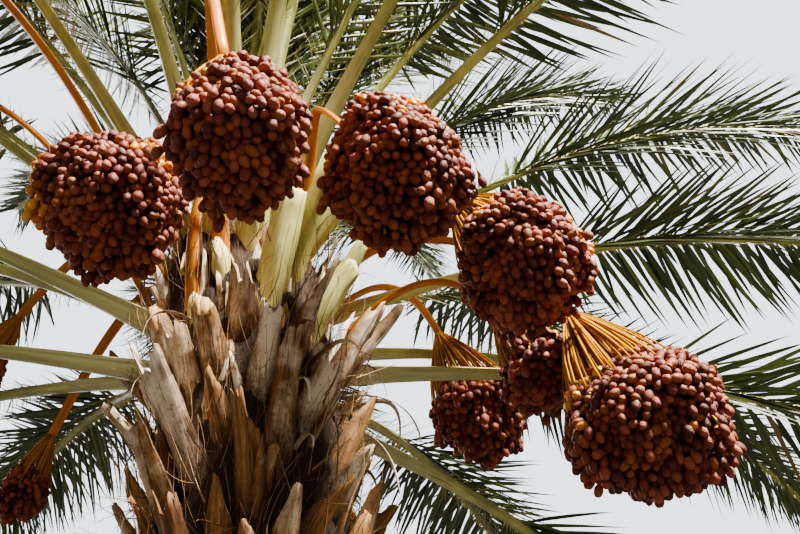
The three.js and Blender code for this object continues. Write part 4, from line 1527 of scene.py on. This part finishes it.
SHADE_TURNS = 24
SHADE_RINGS = 14
SHADE_SUNK = 0.052

# Clusters of a bunch, the level above which its neck is bare, the turn of the spiral that places dates
# and strands, and the size of a date's cap

CLUSTERS = 30
CLUSTER_GAP = 0.5
BARE_NECK = 0.86
GOLDEN_TURN = 2.399963
CAP_SIZE = (0.011, 0.008, 0.011)

# Layers of dates, from the outside in: the number and fullness of each; the inner one has its own shape and
# is mostly dark, which is painted shade

LAYERS = ((0, 1.0), (1, 0.75))
LAYER_DEPTH = 0.025
INNER_DATE = 3


def date_shape(name, seed, turns, rings, wrinkle):
    """A date one unit long on Y from its cap at the origin, and one unit thick."""
    points = [(0, 0, 0)]
    for k in range(1, rings):
        v = k / rings
        r = 0.5 * math.sin(math.pi * v) ** 0.78 * (1.04 - 0.12 * v)
        for j in range(turns):
            a = math.tau * j / turns
            w = r * (1 + wrinkle * (chance(seed * 50 + k * turns + j, 5) - 0.5))
            points.append((w * math.cos(a), 0.5 - 0.5 * math.cos(math.pi * v), w * math.sin(a)))
    points.append((0, 1, 0))
    faces = []
    for j in range(turns):
        n = (j + 1) % turns
        faces.append((0, 1 + n, 1 + j)[::-1])
        for k in range(rings - 2):
            a = 1 + k * turns
            faces.append((a + j, a + turns + j, a + turns + n, a + n)[::-1])
        a = 1 + (rings - 2) * turns
        faces.append((a + j, len(points) - 1, a + n)[::-1])
    return mesh_object(name, points, faces)


def cap_shape(name, twig):
    """The small cap that holds a date, drawn out behind into the twig that bears it."""
    points = [(0, -twig, 0)]
    for j in range(6):
        a = math.pi * j / 3
        points.append((0.5 * math.cos(a), 0.25, 0.5 * math.sin(a)))
    faces = [(0, 1 + j, 1 + (j + 1) % 6) for j in range(6)]
    faces.append((6, 5, 4, 3, 2, 1))
    return mesh_object(name, points, faces)


def egg_point(bunch, level, turn, inset):
    """A point on a bunch's egg: level is the cosine from the neck, inset is measured inward."""
    flat = math.sqrt(max(0, 1 - level * level))
    narrow = 1 - 0.16 * max(0, level) ** 2
    out = (bunch["side"] * math.cos(turn) + bunch["up"] * math.sin(turn)) * flat
    return (bunch["middle"] + out * (bunch["radius"] * narrow - inset)
            + bunch["axis"] * level * (bunch["tall"] - inset))


def head_at(level, turn):
    """The direction from a bunch's middle at that level and turn, told in the bunch's own axes."""
    flat = math.sqrt(1 - level * level)
    return np.array((flat * math.cos(turn), flat * math.sin(turn), level))


def spread_out(count, gap, seed):
    """Directions spread evenly over a ball, first in a spiral with jitter and then pushed apart."""
    m = np.arange(count)
    level = 1 - 2 * (m + 0.5) / count
    turn = GOLDEN_TURN * m
    flat = np.sqrt(1 - level * level)
    heads = np.stack([flat * np.cos(turn), flat * np.sin(turn), level], -1)
    jitter = np.array([[chance(seed + k * 3, 40 + j) - 0.5 for j in range(3)] for k in range(count)])
    heads = unit(heads + jitter * gap * 0.9)
    for _ in range(9):
        apart = heads[:, None] - heads[None]
        far = np.sqrt((apart * apart).sum(-1)) + 1e-9
        push = np.where(far < gap, (gap - far) / far, 0)
        np.fill_diagonal(push, 0)
        heads = unit(heads + 0.35 * (apart * push[..., None]).sum(1))
    return heads


def swell(bunch, head):
    """How far a bunch falls in at head, by its radius: clusters and hollows, deepest on its underside."""
    x, y, z = head
    index = bunch["index"]
    below = max(0, -(x * bunch["side"][2] + y * bunch["up"][2] + z * bunch["axis"][2]))
    slow = (0.5 + 0.5 * math.sin(3.1 * x + index) * math.cos(2.7 * y + 2 * index)
            + 0.25 * math.sin(5 * z + index))
    valley = min(1, np.sqrt(((bunch["clusters"] - head) ** 2).sum(1)).min() / 0.42) ** 2
    return 0.19 * slow + (0.10 + 0.20 * below) * valley - 0.085 - 0.03 * below


def date_shade(bunch, layer, level, out, r):
    """Mostly red-brown, with orange and yellow dates near the neck and on the side that ripens last; the
    inner layer is mostly dark, which is painted shade.
    """
    # Painted shade: the inner layer, set deeper among the outer dates, is mostly dark
    if layer:
        return DARK if r[5] < 0.6 else RED_BROWN
    if level > 0.60 and r[7] < 0.9 * (level - 0.55):
        return TAWNY + pick(r[6], (0.45, 0.75))
    for azimuth, rise, limit in UNRIPE_SIDES[bunch["index"]]:
        late = float(out @ directions(azimuth, rise)[0]) + 0.08 * (r[8] - 0.5)
        if late > limit:
            return ORANGE if r[7] > 0.52 else YELLOW if r[7] > 0.18 else TAWNY
        if late > limit - 0.08 and r[7] > 0.7:
            return TAWNY if r[6] > 0.5 else ORANGE
    return pick(r[5], (0.40, 0.58, 0.82, 0.998))


class OBJECT_OT_palm_fruit(bpy.types.Operator):
    """Builds the orange stalks, the fans of strands and the bunches of dates"""
    bl_idname = "object.palm_fruit"
    bl_label = "Stalks and dates"

    def execute(self, context):
        settings = context.scene.palm_fruit
        finishes = self.date_finishes(np.array(settings.date_color))
        cap_skins = [
            plain_skin("Date cap", (0.60, 0.33, 0.12), 0.6, 70.0),
            plain_skin("Date twig", (0.50, 0.22, 0.03), 0.6, 70.0),
        ]
        strand_skins = [
            plain_skin("Strand yellow", (0.60, 0.29, 0.004), 0.6, 50.0, specular_ior_level=0.1),
            plain_skin("Strand orange", (0.50, 0.19, 0.004), 0.6, 50.0, specular_ior_level=0.1),
            # Near-black painted shade for the body behind the dates
            plain_skin("Bunch painted shade", (0.020, 0.007, 0.004), 0.9, 50.0),
        ]
        stalk_skin = streaked(
            "Stalk", shaded(settings.stalk_color, 0.55), tuple(settings.stalk_color), 0.38,
            (0.30, 0.10, 0.02), across=60.0, length=1.5, relief=0.0008, coat_weight=0.25)
        shapes = [date_shape(f"date_{k}", k, 7, 6, 0.10 + 0.06 * k) for k in range(INNER_DATE)]
        shapes.append(date_shape("date_inner", INNER_DATE, 5, 4, 0.1))
        caps = [cap_shape("cap", 0.25), cap_shape("cap_on_twig", 6.0)]
        for index, plan in enumerate(BUNCH_PLAN):
            name = f"{index + 1:02d}"
            clusters = spread_out(CLUSTERS, CLUSTER_GAP, index * 11 + 3)
            bunch = {**plan, "index": index, "clusters": clusters}
            settle(self.stalk(f"stalk_{name}_skin", bunch, stalk_skin), "stalks", f"stalk_{name}")
            strands = self.strands(f"strands_{name}", bunch, settings.strands, strand_skins)
            settle(strands, "fruit", f"bunch_{name}")
            dates = self.dates(bunch, settings)
            settle(self.fruit(f"dates_{name}", dates, shapes, finishes, index), "fruit", f"bunch_{name}")
            settle(self.caps(f"caps_{name}", dates, caps, cap_skins), "fruit", f"bunch_{name}")
        drop(shapes + caps)
        return {"FINISHED"}

    def date_finishes(self, color):
        """Materials of ripe and late dates, in the order of their slots."""
        ripe = {
            "coat_weight": 0.03, "sheen_weight": 0.06, "sheen_roughness": 0.4, "specular_ior_level": 0.4}
        finishes = [
            plain_skin(f"Date {label}", tuple(color * tint), rough, 42.0, 0.005, **ripe)
            for label, tint, rough in (
                ("red brown", (1, 1, 1), 0.48), ("dark", (0.55, 0.48, 0.42), 0.46),
                ("rose", (1.65, 2.0, 2.0), 0.52), ("tawny", (1.45, 1.85, 1.1), 0.46))]
        return finishes + [
            plain_skin("Date orange", (0.72, 0.25, 0.025), 0.34, 70.0, 0.001, coat_weight=0.2),
            plain_skin("Date yellow", (0.82, 0.42, 0.045), 0.34, 70.0, 0.001, coat_weight=0.2)]

    def stalk(self, name, bunch, skin):
        """A flattened, ribbed stalk from its axil to the neck of its bunch."""
        t = np.concatenate([[0], np.linspace(0, 1, STALK_ROWS)])
        points = curve_point(bunch["controls"], t)
        ahead = curve_way(bunch["controls"], t)
        points[0] -= ahead[0] * ROOTED
        side = np.cross((0, 0, 1.0), ahead[0])
        sides, ups = [], []
        for way in ahead:
            side = unit(side - way * (side @ way))
            sides.append(side)
            ups.append(np.cross(way, side))
        phi = np.radians(np.arange(STALK_SIDES) * 360 / STALK_SIDES)
        bulge = 1 + 0.05 * np.cos(5 * phi)
        outline = np.stack([np.cos(phi) * bulge, np.sin(phi) * bulge], -1)
        widths = along(STALK_WIDTH, t) * (1 + 0.15 * np.exp(-t / 0.04))
        depths = along(STALK_DEPTH, t) * 1.05
        mass = Mass()
        mass.add(*tube(
            points, np.array(sides), np.array(ups), outline, widths, depths, bunch["index"] * 0.9))
        return mass.build(name, [skin])

    def strands(self, name, bunch, full_count, skins):
        """Strands that leave the neck in a fan and run in among the dates, and the near-black body of
        painted shade below.
        """
        mass = Mass()
        count = int(full_count * max(0.3, bunch["width"] / FULL_WIDTH))
        phi = np.radians((45, 135, 225, 315))
        outline = np.stack([np.cos(phi), np.sin(phi)], -1) * 1.2
        axis = bunch["axis"]
        start = bunch["neck"] + axis * 0.012
        t = np.linspace(0, 1, STRAND_ROWS)
        thick = STRAND_THICK - 0.0035 * t
        for m in range(count):
            seed = bunch["index"] * 200 + m
            turn = GOLDEN_TURN * m + 0.5 * chance(seed, 81)
            level = 0.97 - 0.72 * (m + 0.5) / count
            sink = STRAND_SUNK + max(0, bunch["radius"] * swell(bunch, head_at(level, turn)))
            aim = egg_point(bunch, level, turn, sink)
            out = bunch["side"] * math.cos(turn) + bunch["up"] * math.sin(turn)
            root = start + out * 0.012 * chance(seed, 84) ** 0.5
            bow = out * np.linalg.norm(aim - root) * (0.05 + 0.10 * chance(seed, 82))
            controls = (
                root, root + (aim - root) * 0.35 + axis * 0.03, root + (aim - root) * 0.75 + bow,
                aim - axis * 0.012)
            points = curve_point(controls, t)
            ahead = curve_way(controls, t)
            side = unit(np.cross(ahead, out + 0.01))
            up = np.cross(side, ahead)
            strand = tube(points, side, up, outline, thick, thick * 0.6, seed * 0.3)
            mass.add(*strand, STRAND_ORANGE if chance(seed, 83) > 0.62 else STRAND_YELLOW)
        # The near-black body of painted shade under the dates
        points, faces = self.painted_shade_body(bunch)
        mass.add(points, faces, points[:, :2], PAINTED_SHADE)
        return mass.build(name, skins)

    def painted_shade_body(self, bunch):
        """A near-black body well below the dates: painted shade in the gaps between them, so that no light
        shows through.
        """
        points, faces = [], []
        for k in range(SHADE_RINGS + 1):
            level = 0.98 * math.cos(math.pi * k / SHADE_RINGS)
            for j in range(SHADE_TURNS):
                turn = math.tau * j / SHADE_TURNS
                sink = SHADE_SUNK + 0.008 * chance(k * SHADE_TURNS + j, bunch["index"] + 84)
                sink += bunch["radius"] * swell(bunch, head_at(level, turn))
                points.append(egg_point(bunch, level, turn, min(sink, 0.5 * bunch["radius"])))
        for k in range(SHADE_RINGS):
            for j in range(SHADE_TURNS):
                a, b = k * SHADE_TURNS + j, k * SHADE_TURNS + (j + 1) % SHADE_TURNS
                faces.append((a, a + SHADE_TURNS, b + SHADE_TURNS, b))
        faces.append(tuple(range(SHADE_TURNS)))
        faces.append(tuple(range((SHADE_RINGS + 1) * SHADE_TURNS - 1, SHADE_RINGS * SHADE_TURNS - 1, -1)))
        return np.array(points), faces

    def dates(self, bunch, settings):
        """Dates packed evenly over the egg, their tips out and down, with a second layer below."""
        radius, tall, index = bunch["radius"], bunch["tall"], bunch["index"]
        area = 4 * math.pi * radius * (radius + 2 * tall) / 3
        count = int(area / (settings.spacing ** 2 * 0.87))
        small = bunch["width"] < SMALL_WIDTH
        down = np.array([0, 0, 1.0])
        dates = []
        for layer, share in LAYERS:
            gap = settings.spacing / radius / math.sqrt(share)
            for m, head in enumerate(spread_out(int(count * share), gap, index * 7 + layer)):
                seed = index * 5000 + layer * 2500 + m
                r = [chance(seed, 100 + j) for j in range(9)]
                level = head[2]
                if level > bunch.get("bare", BARE_NECK) - 0.10 * r[0] or (small and r[8] > 0.8):
                    continue
                turn = math.atan2(head[1], head[0])
                size = 0.88 + 0.22 * r[6]
                length = settings.date_length * size
                width = settings.date_width * size * (0.92 + 0.14 * r[7]) * (0.85 if small else 1)
                out = unit(egg_point(bunch, level, turn, 0) - bunch["middle"])
                astray = np.array(r[3:6]) - 0.5
                loose = layer == 0 and out[2] < -0.1 and r[8] > 0.84
                if loose:
                    way = unit(out * 0.6 - down + astray * 0.5)
                    hang = 0.010 + 0.022 * r[1] ** 1.5
                else:
                    way = unit(out * 0.48 - down * 0.50 - bunch["axis"] * 0.10 + astray * 1.25)
                    hang = 0
                lean = abs(way @ out)
                half = 0.5 * (lean * length + (1 - lean) * width)
                inset = half + 0.019 * r[2] ** 2 + LAYER_DEPTH * layer - hang
                inset += radius * swell(bunch, head)
                root = egg_point(bunch, level, turn, inset) - way * length * 0.5
                kind = INNER_DATE if layer else m % INNER_DATE
                shade = date_shade(bunch, layer, level, out, r)
                dates.append(Date(root, way, (width, length, width), kind, shade, loose))
        return dates

    def facing(self, dates):
        """Where dates point, and a direction across each."""
        ahead = np.array([date.way for date in dates])
        return ahead, unit(np.cross(ahead, np.roll(ahead, 1, axis=1) + 0.01))

    def fruit(self, name, dates, shapes, finishes, seed):
        """The dates themselves, each turned about its own length by chance."""
        ahead, face = self.facing(dates)
        root, _, size, kind, shade, _ = zip(*dates)
        return scatter(name, root, ahead, face, size, kind, shade, shapes, finishes, turn=3.1, seed=seed)

    def caps(self, name, dates, shapes, skins):
        """A cap on every other date, and one on a long twig on each that hangs loose."""
        chosen = [date for k, date in enumerate(dates) if k % 2 == 0 or date.loose]
        ahead, face = self.facing(chosen)
        loose = [int(date.loose) for date in chosen]
        return scatter(name, [date.root for date in chosen], ahead, face, [CAP_SIZE] * len(chosen),
                       loose, loose, shapes, skins, turn=3.1)


# Stage

# The floor's disc, its tone to the camera and the tone that it sends back to the tree

FLOOR_SIDES = 72
FLOOR_RADIUS = 60.0
FLOOR_SEEN = (0.46, 0.455, 0.44)
FLOOR_BOUNCE = (0.045, 0.042, 0.036)

# The backdrop's strength as light and as seen by the camera

SOFT_STRENGTH = 0.115
PAPER_STRENGTH = 2.1

# The camera's place on the ground, its sensor in millimetres, and the nearest and farthest it sees

EYE_ACROSS = 0.232
EYE_BACK = -2.6
SENSOR_WIDTH = 36
SIGHT = (0.05, 100)

# Each light's name, the azimuth and rise that it comes from, its power, its width and its colour

LIGHTS = (
    ("key", -46, 58, 18.5, 8.0, (1.0, 0.95, 0.87)),
    ("fill", -120, 12, 0.20, 60, (1.0, 0.96, 0.90)),
    ("back", 128, 24, 2.4, 50, (1.0, 0.97, 0.93)),
)


class OBJECT_OT_palm_stage(bpy.types.Operator):
    """Sets the pale floor, the soft lights and the camera under the crown"""
    bl_idname = "object.palm_stage"
    bl_label = "Stage and camera"

    def execute(self, context):
        scene = context.scene
        self.floor()
        scene.world = self.backdrop()
        scene.view_settings.look = "AgX - Medium High Contrast"
        self.lights(scene)
        self.camera(scene, scene.palm_stage)
        return {"FINISHED"}

    def floor(self):
        """A wide plain disc, which gives less light back to the tree than its tone would."""
        skin, tree, shader = new_material("Floor", (0.62, 0.61, 0.59), 0.9)
        sight = tree.nodes.new("ShaderNodeLightPath")
        tone = blend(tree, sight.outputs["Is Camera Ray"], FLOOR_BOUNCE, FLOOR_SEEN)
        tree.links.new(tone, shader.inputs["Base Color"])
        marks = use_group(tree, DUST, place_on(tree), Scale=3.0, Amount=0.2)
        tree.links.new(remap(tree, marks["Mask"], 0, 1, 0.85, 0.95), shader.inputs["Roughness"])
        turns = [math.tau * k / FLOOR_SIDES for k in range(FLOOR_SIDES)]
        points = [(FLOOR_RADIUS * math.cos(turn), FLOOR_RADIUS * math.sin(turn), 0) for turn in turns]
        mesh_object("floor", points, [tuple(range(FLOOR_SIDES))], [skin], smooth=False)

    def backdrop(self):
        """Pale paper where the camera sees it, and a softer light on the tree."""
        world = bpy.data.worlds.new("Pale studio")
        world.use_nodes = True
        tree = world.node_tree
        soft = tree.nodes["Background"]
        soft.inputs["Color"].default_value = (0.96, 0.95, 1.0, 1)
        soft.inputs["Strength"].default_value = SOFT_STRENGTH
        paper = tree.nodes.new("ShaderNodeBackground")
        paper.inputs["Color"].default_value = (0.80, 0.85, 0.92, 1)
        paper.inputs["Strength"].default_value = PAPER_STRENGTH
        seen = tree.nodes.new("ShaderNodeLightPath")
        mixed = tree.nodes.new("ShaderNodeMixShader")
        tree.links.new(seen.outputs["Is Camera Ray"], mixed.inputs[0])
        tree.links.new(soft.outputs[0], mixed.inputs[1])
        tree.links.new(paper.outputs[0], mixed.inputs[2])
        tree.links.new(mixed.outputs[0], tree.nodes["World Output"].inputs["Surface"])
        return world

    def lights(self, scene):
        """Distant lights, each turned to shine from its azimuth and rise."""
        for name, azimuth, rise, power, width, color in LIGHTS:
            light = bpy.data.lights.new(name, "SUN")
            light.energy = power
            light.angle = math.radians(width)
            light.color = color
            lamp = bpy.data.objects.new(name, light)
            lamp.rotation_euler = (math.radians(90 - rise), 0, math.radians(azimuth + 90))
            scene.collection.objects.link(lamp)

    def camera(self, scene, settings):
        """A camera at eye height that looks up along Y."""
        camera = bpy.data.cameras.new("camera")
        camera.lens = settings.lens
        camera.sensor_width = SENSOR_WIDTH
        camera.clip_start, camera.clip_end = SIGHT
        eye = bpy.data.objects.new("camera", camera)
        eye.location = (EYE_ACROSS, EYE_BACK, settings.eye_height)
        eye.rotation_euler = (math.radians(90) + settings.camera_pitch, 0, 0)
        scene.collection.objects.link(eye)
        scene.camera = eye


class VIEW3D_PT_date_palm(bpy.types.Panel):
    bl_idname = "VIEW3D_PT_date_palm"
    bl_label = "Date palm"
    bl_space_type = "VIEW_3D"
    bl_region_type = "UI"
    bl_category = "Date palm"

    def draw(self, context):
        scene = context.scene
        for operator, settings in (
            ("object.palm_trunk", scene.palm_trunk), ("object.palm_fronds", scene.palm_fronds),
            ("object.palm_fruit", scene.palm_fruit), ("object.palm_stage", scene.palm_stage),
        ):
            box = self.layout.box()
            for name in settings.__annotations__:
                box.prop(settings, name)
            box.operator(operator)


CLASSES = (
    PalmTrunkSettings, PalmFrondSettings, PalmFruitSettings, PalmStageSettings,
    OBJECT_OT_palm_trunk, OBJECT_OT_palm_fronds, OBJECT_OT_palm_fruit, OBJECT_OT_palm_stage,
    VIEW3D_PT_date_palm,
)


def register():
    for cls in CLASSES:
        bpy.utils.register_class(cls)
    bpy.types.Scene.palm_trunk = PointerProperty(type=PalmTrunkSettings)
    bpy.types.Scene.palm_fronds = PointerProperty(type=PalmFrondSettings)
    bpy.types.Scene.palm_fruit = PointerProperty(type=PalmFruitSettings)
    bpy.types.Scene.palm_stage = PointerProperty(type=PalmStageSettings)


def unregister():
    for name in ("palm_trunk", "palm_fronds", "palm_fruit", "palm_stage"):
        delattr(bpy.types.Scene, name)
    for cls in reversed(CLASSES):
        bpy.utils.unregister_class(cls)


def main():
    register()
    bpy.ops.object.palm_stage()
    bpy.ops.object.palm_trunk()
    bpy.ops.object.palm_fronds()
    bpy.ops.object.palm_fruit()


if __name__ == "__main__":
    main()
